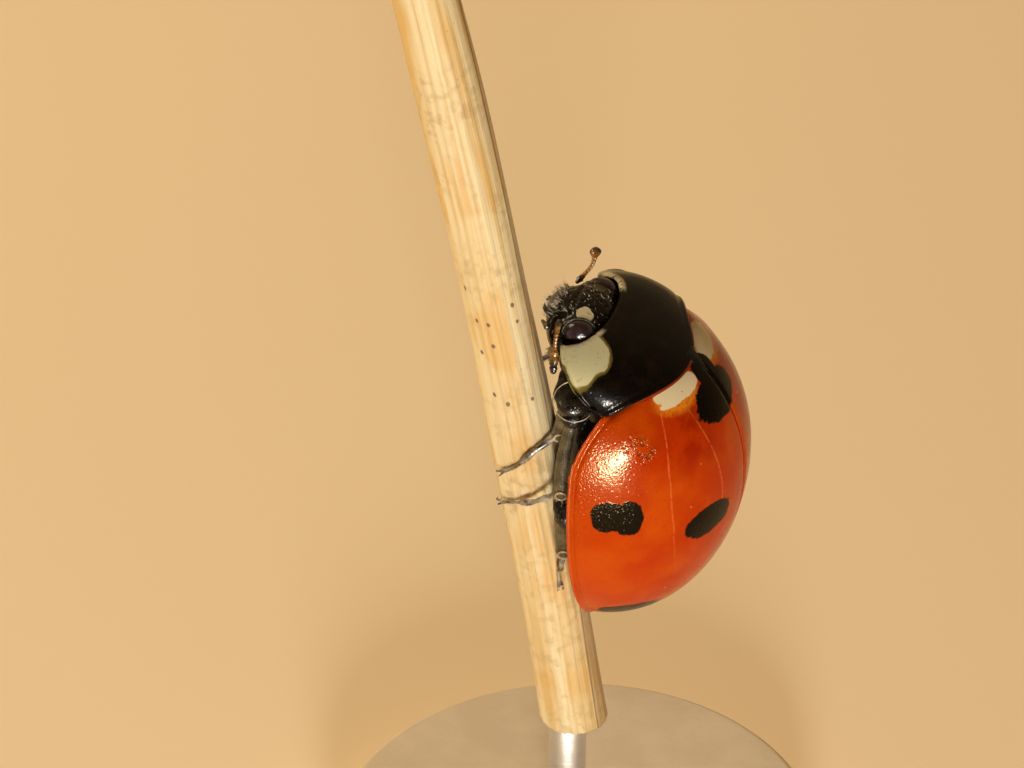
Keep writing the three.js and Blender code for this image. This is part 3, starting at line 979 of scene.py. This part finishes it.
def scutellum(paint):
    """The small triangle between the bases of the wing cases."""
    front_x, length, half_width, thickness = 2.4, 0.36, 0.17, 0.12
    share = np.linspace(0, 1, 14)[:, None]
    across = np.linspace(-1, 1, 13)
    x = np.broadcast_to(front_x - length * share, (len(share), len(across)))
    y = half_width * (1 - share * 0.96) * across
    ring = np.sqrt(1 - (x / DOME["front"]) ** 2 - (y / DOME["side"]) ** 2)
    height = DOME["up"] * ring + 0.006 - 0.012 * across**2
    plate = slab(np.stack([x, y, height], -1), thickness)
    piece("scutellar_shield", plate, paint, ["scutellum"])


# ------------------------------------------------------------------ prothorax


def bezier(points, share):
    a, b, c = np.array(points, float)
    share = share[..., None]
    return (1 - share) ** 2 * a + 2 * share * (1 - share) * b + share**2 * c


PRONOTUM_WALL = 0.1
BREAST_PLATE_WALL = 0.05
BREAST_PLATE_SET_IN = [0.05, 0, 0.01]
CORNER_ANGLE = 0.16
CORNER_CUT = 0.11
HIND_CORNER_AT = [2.02, 1.76, 0.5]


def prothorax_points(share, angle, below=False):
    """Places on the prothorax, from its hind edge (0) to its front edge (1), and around from
    its left side edge (0) over the back, or below, to the right one (pi)."""
    side = bezier(PROTHORAX_SIDE, share)
    crown = bezier(PROTHORAX_BELOW if below else PROTHORAX_BACK, share)
    rise = np.sin(angle) ** (2.2 if below else 1 - 0.3 * share)
    return np.stack([
        side[..., 0] + (crown[..., 0] - side[..., 0]) * rise,
        side[..., 1] * np.cos(angle),
        side[..., 2] + (crown[..., 2] - side[..., 2]) * rise,
    ], -1)


def neck_share(angle):
    """How far along the prothorax it meets the wing cases, at each place around."""
    share = np.linspace(0, 0.6, 600)[:, None]
    points = prothorax_points(share, np.broadcast_to(angle, (len(share), len(angle))))
    around = np.arctan2(np.abs(points[..., 1]) / DOME["side"], points[..., 2] / DOME["up"])
    met = points[..., 0] > np.polyval(NECK_BEND, around * np.sign(points[..., 1]) * 2 / math.pi)
    from_side = np.minimum(angle, math.pi - angle)
    near_corner = np.clip(1 - from_side / CORNER_ANGLE, 0, 1)
    corner = CORNER_CUT * (1 - np.sqrt(1 - near_corner**2))
    return np.maximum(share[np.argmax(met, axis=0), 0], corner)


def run_length(points, axis):
    """How far each place of a grid is along it from its first row or column."""
    steps = np.linalg.norm(np.diff(points, axis=axis), axis=-1)
    return np.insert(np.cumsum(steps, axis), 0, 0, axis)


def edge_distance(points):
    """How far each place of a grid is from the nearer side edge, and from the first row."""
    left = run_length(points, 1)
    return np.minimum(left, left[:, -1:] - left), run_length(points, 0)


def pronotum(paint):
    """The shield over the prothorax, with a bead along its sides and round its hind corners."""
    rows, columns = 80, 161
    share = np.linspace(0, 1, rows)[:, None]
    spread = np.linspace(-1, 1, columns)
    angle = math.pi / 2 * (1 + np.sign(spread) * (1 - (1 - np.abs(spread)) ** 1.5))
    angle = np.clip(angle, 0.0005, math.pi - 0.0005)
    first = neck_share(angle)
    points = prothorax_points(first + (1 - first) * share, np.broadcast_to(angle, (rows, columns)))
    side, hind = edge_distance(points)
    corner = bell(side, 0, 1.1)
    bead = 0.035 * bell(side, 0.04, 0.04) - 0.022 * bell(side, 0.13, 0.05)
    bead = bead * (0.3 + 0.7 * bell(hind, 0, 1.0))
    bead += corner * (0.035 * bell(hind, 0.05, 0.04) - 0.02 * bell(hind, 0.14, 0.045))
    bead += 0.06 * lump(folded_over(points), HIND_CORNER_AT, 0.35)
    points = points + grid_normals(points) * bead[..., None]
    piece("pronotal_shield", slab(points, PRONOTUM_WALL), paint, ["pronotum"])


def prosternum(paint):
    """The plate below the prothorax, with a keel, just inside the pronotum's sides."""
    rows, columns = 30, 61
    share, angle = np.meshgrid(np.linspace(0, 1, rows), np.linspace(0.02, math.pi - 0.02, columns),
                               indexing="ij")
    points = prothorax_points(share, angle, below=True)
    points = points * [1, 0.92, 1] - BREAST_PLATE_SET_IN
    points[..., 2] -= 0.06 * bell(points[..., 1], 0, 0.16)
    plate = slab(points[:, ::-1], BREAST_PLATE_WALL)
    piece("breast_plate", plate, paint, ["prosternum"])


# ------------------------------------------------------------------ thorax and abdomen


SIDE_PLATE = {"x": 1.6, "out": 1.42, "z": 0.17, "size": (0.22, 0.16, 0.18)}
TRUNK_SIDES = 96
PLATE_STEP = 0.05


def trunk_rings(start, end, rows, steps):
    """Rings of the body under the wing cases, between two places along it. steps are the
    places where one plate's hind edge stands over the next plate."""
    x = np.linspace(start, end, rows)
    reach = np.where(x > 0, BELLY["front"], BELLY["rear"])
    ring = np.sqrt(np.maximum(0, 1 - (x / reach) ** 2))
    angle = round_turn(TRUNK_SIDES)
    rise = np.where(np.sin(angle) > 0, BELLY["up"], BELLY["down"])
    lower = np.clip(-np.sin(angle) * 3, 0, 1)
    plate = sum(PLATE_STEP * np.clip(1 - (x - step) / 0.5, 0, 1) * (x >= step) for step in steps)
    swell = 1 + lower * plate[:, None] / 1.2
    y = BELLY["side"] * ring[:, None] * np.cos(angle) * (1 + lower * plate[:, None] * 0.3)
    z = ring[:, None] * rise * np.sin(angle) * swell
    return np.stack([np.broadcast_to(x[:, None], y.shape), y, z], -1)


ABDOMEN_STEPS = (-0.52, -1.08, -1.58, -2.02, -2.4)
THORAX_STEPS = (0.25, 1.2)


def thorax(paint, pale):
    rings = trunk_rings(WAIST_X + WAIST_GAP / 2, THORAX_FRONT_X, 70, THORAX_STEPS)
    piece("breast", tube(rings), paint, ["thorax"])
    for name, side in (("left", 1), ("right", -1)):
        plate = ball((SIDE_PLATE["x"], side * SIDE_PLATE["out"], SIDE_PLATE["z"]), SIDE_PLATE["size"])
        piece(f"side_plate_{name}", plate, pale)
    return rings


def abdomen(paint):
    rings = trunk_rings(-BELLY["rear"] + 0.01, WAIST_X - WAIST_GAP / 2, 90, ABDOMEN_STEPS)
    piece("belly", tube(rings), paint, ["abdomen"])
    return rings


# ------------------------------------------------------------------ head


HEAD_BLEND = 0.07
FEELER_SOCKET_AT = [3.06, 0.56, -0.78]


def skull_reach(ways):
    return 1 / away_from(ways, 0, HEAD_SIZE)


def snout_reach(ways):
    """How far the snout's far side is from the head's centre along each way, or 0."""
    offset = (HEAD_AT - SNOUT_AT) / SNOUT_SIZE
    scaled = ways / SNOUT_SIZE
    a = (scaled**2).sum(-1)
    b = (scaled * offset).sum(-1)
    inside = b**2 - a * ((offset**2).sum() - 1)
    return np.where(inside > 0, (-b + np.sqrt(np.maximum(inside, 0))) / a, 0)


def head_shape():
    """The skull and snout as one smooth shape, with a brow round each eye, a socket for each
    feeler and a groove over the snout."""
    ways, faces = ball((0, 0, 0), (1, 1, 1), 6)
    skull, snout = skull_reach(ways), snout_reach(ways)
    reach = (skull + snout + np.sqrt((skull - snout) ** 2 + HEAD_BLEND**2)) / 2
    points = HEAD_AT + ways * reach[:, None]
    folded = folded_over(points)
    brow = 0.035 * bell(away_from(folded, EYE_AT, EYE_SIZE), 1.12, 0.14)
    socket = -0.06 * lump(folded, FEELER_SOCKET_AT, 0.1)
    brow_line = -0.03 * bell(points[:, 2], -0.62, 0.05) * bell(points[:, 1], 0, 0.5)
    points = points + ways * (brow + socket + brow_line)[:, None]
    return (points, faces), ways, snout > skull


def head(paint):
    shape, ways, on_snout = head_shape()
    piece("head_capsule", shape, paint, ["head"])
    return shape[0], ways, on_snout


LIP_HALF_WIDTH = 0.30
LIP_SCALE = 1.07
LIP_WALL = 0.06


def labrum(paint, brown):
    """The upper lip, with the tips of the jaws below it."""
    down = np.radians(np.linspace(2, 74, 16))[:, None]
    across = np.linspace(-1, 1, 25)
    reach = np.sqrt(1 - (LIP_HALF_WIDTH * across / SNOUT_SIZE[1]) ** 2) * LIP_SCALE
    x = SNOUT_AT[0] + SNOUT_SIZE[0] * np.cos(down) * reach
    z = SNOUT_AT[2] - SNOUT_SIZE[2] * np.sin(down) * reach
    y = LIP_HALF_WIDTH * across * (1 - 0.12 * np.sin(down) ** 2)
    lip = slab(np.stack([x, np.broadcast_to(y, x.shape), z], -1)[:, ::-1], LIP_WALL)
    jaws = [limb([[2.8, side * 0.24, -1.08], [2.88, side * 0.18, -1.2], [2.91, side * 0.06, -1.25]],
                 [(0, 0.06), (0.6, 0.04), (1, 0.012)]) for side in (1, -1)]
    piece("upper_lip", joined(lip, *jaws), brown, ["labrum"])


def hoop(centre, axis, size, thickness, sides=10, count=72):
    """A ring round a place, square to an axis."""
    axis = unit(np.array(axis, float))
    first = unit(np.cross(axis, [0, 0, 1]))
    second = np.cross(axis, first)
    turn = round_turn(count)[:, None]
    spoke = first * np.cos(turn) * size[0] + second * np.sin(turn) * size[1]
    angle = round_turn(sides)
    points = (np.array(centre) + spoke)[:, None] + thickness * (
        unit(spoke)[:, None] * np.cos(angle)[:, None] + axis * np.sin(angle)[:, None])
    faces = grid_faces(count + 1, sides, closed=True)
    return points.reshape(-1, 3), [tuple(i % (count * sides) for i in face) for face in faces]


EYE_AXIS = np.array([0.5, 0.84, 0.2])
EYE_RIM = {"out": 0.015, "size": (0.285, 0.315), "thickness": 0.026}


def eyes(paint, rim_paint):
    for name, side in (("left", 1), ("right", -1)):
        turn = np.array([1, side, 1])
        piece(f"eye_{name}_lens", ball(EYE_AT * turn, EYE_SIZE, 5), paint, [f"eye_{name}"])
        at = (EYE_AT + unit(EYE_AXIS) * EYE_RIM["out"]) * turn
        rim = hoop(at, EYE_AXIS * turn, EYE_RIM["size"], EYE_RIM["thickness"])
        piece(f"eye_{name}_rim", rim, rim_paint)


# Joints of an antenna: where each ends along it, and its greatest radius.
ANTENNA_JOINTS = [
    (0.11, 0.075), (0.18, 0.062), (0.26, 0.052), (0.33, 0.049), (0.40, 0.049), (0.46, 0.05),
    (0.52, 0.052), (0.58, 0.058), (0.70, 0.09), (0.84, 0.112), (1.0, 0.08),
]


ANTENNA_STEPS = 239


def antenna(name, points, paint):
    line = spline(points, ANTENNA_STEPS + 1)
    joints, start = [], 0.0
    for end, radius in ANTENNA_JOINTS:
        low, high = int(start * ANTENNA_STEPS), int(end * ANTENNA_STEPS)
        part = line[low:high + 1:max(1, (high - low) // 5)]
        knots = [(0, radius * 0.62), (0.7, radius), (1, radius * 0.8)]
        joints.append(limb(part, knots, flat=0.75, broad=(0.3, 0.1, 1), sides=16, count=12))
        start = end
    piece(f"antenna_{name}_joints", joined(*joints), paint, [f"antenna_{name}"])


def palps(paint):
    """The feelers below the mouth, each ending in an axe-shaped joint."""
    left = joined(
        limb(PALP[:2], [(0, 0.05), (1, 0.06)], count=8),
        limb(PALP[1:3], [(0, 0.045), (1, 0.065)], count=8),
        limb(PALP[2:], [(0, 0.05), (0.75, 0.1), (1, 0.08)], flat=0.45, broad=(1, 0.4, 0), count=14),
    )
    piece("palp_left_joints", left, paint, ["palp_left"])
    piece("palp_right_joints", mirrored(left), paint, ["palp_right"])


# ------------------------------------------------------------------ legs


def stem_axis(height):
    rise = height - INSECT_AT[2]
    aside = STEM_OFFSET - STEM_LEAN * rise - STEM_BOW * rise * rise
    return np.stack([INSECT_AT[0] + aside, np.zeros_like(rise), height], -1)


def on_stem(point):
    """A place of the insect's moved square to the stem until a foot there is clear of it."""
    place = to_stand(point)
    centre = stem_axis(place[2])
    return to_insect(centre + unit(place - centre) * (STEM["radius"] + FOOT_CLEARANCE))


COXA_SIZE = (0.3, 0.26, 0.26)
FEMUR_KNOTS = [(0, 0.15), (0.35, 0.23), (0.85, 0.27), (1, 0.23)]
FRONT_FEMUR_KNOTS = [(0, 0.15), (0.4, 0.24), (0.8, 0.36), (1, 0.32)]
TIBIA_KNOTS = [(0, 0.1), (0.12, 0.145), (0.6, 0.155), (1, 0.15)]
# Joints of a foot: the start and end of each along it, its radii and its flatness.
TARSUS_JOINTS = [
    (0.0, 0.36, [(0, 0.04), (0.8, 0.056), (1, 0.046)], 0.7),
    (0.33, 0.60, [(0, 0.038), (0.7, 0.064), (1, 0.054)], 0.6),
    (0.52, 1.0, [(0, 0.024), (0.6, 0.03), (1, 0.038)], 0.9),
]
FOOT_STEPS = 119
FOOT_CLEARANCE = 0.09
ANKLE_RIM = {"out": 0.13, "size": (0.12, 0.1), "thickness": 0.02}
KNEE_RIM = {"at": [0, -0.03, 0], "axis": (0.62, 0.75, 0.24), "size": (0.37, 0.39), "thickness": 0.011}


def claws(line, out):
    """Two hooked claws at the end of a foot, with a tooth at the base of each."""
    ahead = unit(line[-1] - line[-8])
    side = unit(np.cross(ahead, out))
    hooks = []
    for spread in (side, -side):
        root = line[-1] + spread * 0.025
        hook = [root, root + ahead * 0.06 + spread * 0.02 + out * 0.03,
                root + ahead * 0.12 + spread * 0.03 - out * 0.005,
                root + ahead * 0.14 + spread * 0.03 - out * 0.05]
        tooth = [root + ahead * 0.01, root + ahead * 0.05 + spread * 0.02 - out * 0.04]
        hooks.append(limb(hook, [(0, 0.022), (0.5, 0.016), (1, 0.005)], count=14, sides=10))
        hooks.append(limb(tooth, [(0, 0.02), (1, 0.006)], count=6, sides=8))
    return hooks


def tarsus(ankle, toes):
    """The joints of a foot and its claws, and the rings of the joints for their hairs."""
    line = spline([ankle, toes[0], *map(on_stem, toes[1:])], FOOT_STEPS + 1)
    out = unit(line[-1] - to_insect(stem_axis(to_stand(line[-1])[2])))
    broad = np.cross(out, line[-1] - line[0])
    rings = [
        limb_rings(line[int(start * FOOT_STEPS):int(end * FOOT_STEPS) + 1:8], knots, flat, broad, count=16)
        for start, end, knots, flat in TARSUS_JOINTS
    ]
    return joined(*map(tube, rings), *claws(line, out)), rings


def leg(name, places, toes, dark, brown, silver, rim_paint):
    """One leg. Returns the rings of its long parts for their hairs."""
    hip, knee, ankle = np.array(places)
    front = name.startswith("front")
    bend = (hip + knee) / 2 + [0, 0, -0.04]
    femur = limb_rings([hip, bend, knee], FRONT_FEMUR_KNOTS if front else FEMUR_KNOTS,
                       flat=0.5 if front else 0.82, broad=(0, -0.3, 0.95) if front else (0, 0, 1))
    shin_middle = (knee + ankle) / 2 + [0, 0, -0.03]
    tibia = limb_rings([knee, shin_middle, ankle], TIBIA_KNOTS, flat=0.9)
    foot, foot_rings = tarsus(ankle, toes)
    outer_side = np.array([0, math.copysign(1, hip[1]), 0.3])
    ankle_rim = hoop(ankle + outer_side * ANKLE_RIM["out"], outer_side * [0, 0.9, 0.8] - [0.35, 0, 0],
                     ANKLE_RIM["size"], ANKLE_RIM["thickness"])
    piece(f"{name}_coxa", ball(hip, COXA_SIZE), dark, [f"leg_{name}_coxa"])
    piece(f"{name}_femur", tube(femur), dark, [f"leg_{name}_femur"])
    if front:
        # The pale ring is the front knee's thin translucent edge; its paleness is partly a painted highlight.
        knee_rim = hoop(knee + KNEE_RIM["at"], KNEE_RIM["axis"], KNEE_RIM["size"], KNEE_RIM["thickness"])
        piece(f"{name}_knee_rim", knee_rim, rim_paint)
    piece(f"{name}_tibia", tube(tibia), brown, [f"leg_{name}_tibia"])
    piece(f"{name}_ankle_rim", ankle_rim, rim_paint)
    piece(f"{name}_tarsus", foot, silver, [f"leg_{name}_tarsus"])
    return femur, tibia, foot_rings


# ------------------------------------------------------------------ hairs


def face_hairs(points, ways, on_snout, paint):
    """Silver bristles that lie down over the snout, and a few short ones between the eyes."""
    tufts = []
    azimuth = np.arctan2(ways[:, 1], ways[:, 0]) / (2 * math.pi) + 0.5
    rise = np.arccos(np.clip(ways[:, 2], -1, 1)) / math.pi
    unwrap = np.stack([azimuth, rise], -1)
    bare = away_from(folded_over(points), EYE_AT, EYE_SIZE) > 1.25
    regions = [
        (on_snout & bare & (ways[:, 2] > -0.97), 90, 0.12, 0.0055, [0.05, 0, -0.2]),
        (~on_snout & bare & (points[:, 0] > 2.95), 34, 0.05, 0.0055, [0.2, 0, -0.2]),
        (on_snout & (points[:, 0] > 3.0), 26, 0.17, 0.004, [0.3, 0, 0.1]),
    ]
    for keep, count, length, thickness, bend in regions:
        chosen = rng.choice(np.flatnonzero(keep), count)
        lean = unit(ways[chosen] * 0.6 + rng.normal(0, 0.2, (count, 3)) + [0.3, 0.05, -0.6])
        tufts.append(batch(points[chosen], lean, length, thickness, unwrap[chosen], bend))
    coat("face_bristles", tufts, paint)


def leg_hairs(all_rings, paint):
    """Short hairs along each leg's long parts, and a crown of spurs at the end of each shin."""
    tufts = []
    for index, (femur, tibia, foot_rings) in enumerate(all_rings):
        plans = [(femur, 70, 0.05, 3 * index), (tibia, 170, 0.055, 3 * index + 1)]
        plans += [(rings, 60, 0.05, 3 * index + 2) for rings in foot_rings]
        for rings, count, length, place in plans:
            roots, outward, forward, unwrap = on_rings(rings, count, 0.12, 0.95)
            ways = unit(forward + outward * 0.55 + rng.normal(0, 0.15, (count, 3)))
            tufts.append(batch(roots, ways, length, 0.0032, cell(unwrap, place)))
        crown, outward, forward, unwrap = on_rings(tibia, 40, 0.86, 0.95)
        spurs = forward + outward * 0.5
        tufts.append(batch(crown, spurs, 0.09, 0.007, cell(unwrap, 3 * index + 1)))
    coat("leg_hairs", tufts, paint)


def belly_hairs(thorax_rings, abdomen_rings, paint):
    """Hairs that lean back along the underside."""
    tufts = []
    for index, (rings, count) in enumerate([(thorax_rings, 900), (abdomen_rings, 1500)]):
        roots, outward, forward, unwrap = on_rings(rings, count, 0.05, 0.97)
        below = outward[:, 2] < -0.05
        roots, outward, forward, unwrap = [part[below] for part in (roots, outward, forward, unwrap)]
        ways = unit(outward * 0.5 - forward + rng.normal(0, 0.15, roots.shape))
        tufts.append(batch(roots, ways, 0.07, 0.004, cell(unwrap, index, 2)))
    coat("belly_hairs", tufts, paint)


# ------------------------------------------------------------------ stem and stand


def stem(paint):
    """A ridged straw, cut at both ends, with a thin sheath wrapped part of the way round."""
    rows, sides = 300, 168
    height = np.linspace(STEM["bottom"], STEM["top"], rows)
    angle = round_turn(sides)
    up, around = np.meshgrid(height, angle, indexing="ij")
    drift = 0.35 * np.sin(up * 0.55) + 0.2 * np.sin(up * 1.3 + 2)
    strength = 0.6 + 0.4 * np.sin(3 * around + 0.4 * np.sin(up * 0.5))
    ridges = STEM["ridge_height"] * strength * np.cos(STEM["ridges"] * around + drift)
    fine = 0.004 * np.cos(61 * around + 2 * drift)
    wrapped = (around + math.pi) % (2 * math.pi) - math.pi
    starts, ends = [1 / (1 + np.exp(-gap * SHEATH_SHARPNESS))
                    for gap in (wrapped - sheath_edge(up), SHEATH_FAR_EDGE - wrapped)]
    swell = 0.012 * np.sin(up * 0.8) + 0.008 * np.sin(2 * around + up * 0.7)
    radius = STEM["radius"] - 0.012 + ridges + fine + SHEATH_THICKNESS * starts * ends + swell
    ragged = 0.05 * np.sin(5 * angle) + 0.04 * np.sin(11 * angle + 1)
    inset, share, kept = np.array(STEM_CUT).T[..., None]
    heights = [STEM["bottom"] - inset * 0.3 + 0 * angle, up, (STEM["top"] + inset + ragged * kept * 0.4)[::-1]]
    radii = np.concatenate([radius[0] * share, radius, (radius[-1] * share)[::-1]])
    heights = np.concatenate(heights)
    level = np.stack([radii * np.cos(angle), radii * np.sin(angle), 0 * radii], -1)
    piece("straw", tube(stem_axis(heights) + level), paint, ["stem"], on_stand=True)


def stand(steel, resin):
    aside, _, _ = stem_axis(np.array(ROD["x_height"]))
    r, low, high, bevel = ROD["radius"], ROD["bottom"], ROD["top"], ROD["bevel"]
    points, faces = turned([(r * 0.5, low), (r - bevel, low), (r, low + bevel), (r, high - bevel),
                            (r - bevel, high), (r * 0.5, high)], 64)
    piece("rod", (points + [aside, 0, 0], faces), steel, ["stand_rod"], on_stand=True)
    turn = np.linspace(0, math.pi / 2, 7)
    wide, thick, soft = BASE["radius"], BASE["thickness"], BASE["rounding"]
    lower = [(wide - soft * 0.4 * (1 - math.sin(t)), soft * 0.4 * (1 - math.cos(t))) for t in turn]
    upper = [(wide - soft * (1 - math.cos(t)), thick - soft * (1 - math.sin(t))) for t in turn]
    profile = [(1.0, 0), (wide - 1, 0), *lower, *upper, (wide - 1, thick), (1.0, thick)]
    piece("base", turned(profile, 180), resin, ["stand_base"], on_stand=True)


# ------------------------------------------------------------------ stage


def lamp(name, place, aim, power, size, colour):
    """A round soft lamp at a place, in millimetres, that shines at another."""
    light = bpy.data.lights.new(name, "AREA")
    light.shape = "DISK"
    light.size = size * MM
    light.energy = power
    light.color = colour
    made = bpy.data.objects.new(name, light)
    bpy.context.scene.collection.objects.link(made)
    made.location = np.array(place) * MM
    way = Vector(np.array(aim, float) - place)
    made.rotation_euler = way.to_track_quat("-Z", "Y").to_euler()
    made.visible_camera = False
    return made


FLOOR_SIZE = 8
FLOOR_GAP = 0.01
FRONT_LAMP_AT = (6.3, -121, 26)
FRONT_LAMP_AIM = (0, 0, 9)


def studio():
    """A plain pale floor, a low lamp before the insect with another that only makes glints,
    and a wide warm lamp behind and to the left."""
    bpy.ops.mesh.primitive_plane_add(size=FLOOR_SIZE, location=(0, 0, -FLOOR_GAP * MM))
    floor = bpy.context.object
    floor.name = "floor"
    floor.data.materials.append(floor_paint())
    lamp("front_lamp", FRONT_LAMP_AT, FRONT_LAMP_AIM, 0.125, 26, (1, 0.92, 0.78))
    glint = lamp("glint_lamp", FRONT_LAMP_AT, FRONT_LAMP_AIM, 0.72, 25, (1, 0.95, 0.85))
    glint.visible_diffuse = False
    lamp("side_lamp", (-150, 80, 120), (0, 8, 2), 0.36, 90, (1, 0.80, 0.52))


def surroundings():
    """Soft light from all round: dim before the insect and brighter behind it."""
    world = bpy.data.worlds.new("studio")
    bpy.context.scene.world = world
    air = Nodes(world)
    way = air.node("TexCoord", {}, {}, "Generated")
    behind = way.dot((0, 1, 0)).rise(-0.1, 0.7)
    glow = air.mix(behind, (0.08, 0.05, 0.025), (0.45, 0.30, 0.15))
    light = air.node("Background", {}, {"Color": glow})
    air.node("OutputWorld", {}, {"Surface": light})


def camera():
    data = bpy.data.cameras.new("camera")
    made = bpy.data.objects.new("camera", data)
    bpy.context.scene.collection.objects.link(made)
    bpy.context.scene.camera = made
    low, high = math.cos(VIEW_ELEVATION), math.sin(VIEW_ELEVATION)
    aside, above = VIEW_AIM
    aim = INSECT_AT + np.array([aside, above * high, above * low])
    made.location = (aim + VIEW_DISTANCE * np.array([0, -low, high])) * MM
    made.rotation_euler = (math.pi / 2 - VIEW_ELEVATION, 0, 0)
    data.sensor_width = SENSOR_WIDTH
    data.lens = SENSOR_WIDTH * VIEW_DISTANCE / VIEW_WIDTH
    data.clip_start, data.clip_end = CLIP_RANGE


def main():
    camera()
    surroundings()
    studio()
    bpy.context.scene.view_settings.view_transform = "Standard"

    shell = black_shell_paint()
    dark_leg = leg_paint("dark_leg", BLACK, (0.022, 0.015, 0.005), 0.2)
    brown_leg = leg_paint("brown_leg", (0.05, 0.037, 0.014), (0.14, 0.112, 0.05), 0.25)
    # The feet: dark brown clouded with pale silver-grey, a painted sheen.
    foot = leg_paint("foot_painted_sheen", (0.06, 0.045, 0.03), (0.42, 0.37, 0.30), 0.12)
    rim = leg_paint("pale_rim", (0.36, 0.27, 0.15), (0.55, 0.45, 0.30), 0.2)
    brown = leg_paint("lip_brown", (0.025, 0.014, 0.006), (0.06, 0.035, 0.014), 0.2)
    silver = hair_paint("silver_hair", (0.58, 0.52, 0.40))
    golden = hair_paint("golden_hair", (0.42, 0.33, 0.2))

    wing_cases(wing_case_paint())
    scutellum(shell)
    pronotum(pronotum_paint())
    prosternum(shell)
    thorax_rings = thorax(shell, hair_paint("side_olive", (0.10, 0.095, 0.03)))
    abdomen_rings = abdomen(shell)
    points, ways, on_snout = head(head_paint())
    labrum(shell, brown)
    eyes(eye_paint(), eye_rim_paint())
    feeler = antenna_paint()
    antenna("left", ANTENNA_LEFT, feeler)
    antenna("right", ANTENNA_RIGHT, feeler)
    palps(brown_leg)
    all_rings = [leg(name, *places, dark_leg, brown_leg, foot, rim) for name, places in LEGS.items()]
    face_hairs(points, ways, on_snout, silver)
    leg_hairs(all_rings, golden)
    belly_hairs(thorax_rings, abdomen_rings, golden)
    stem(straw_paint())
    stand(steel_paint(), base_paint())


main()
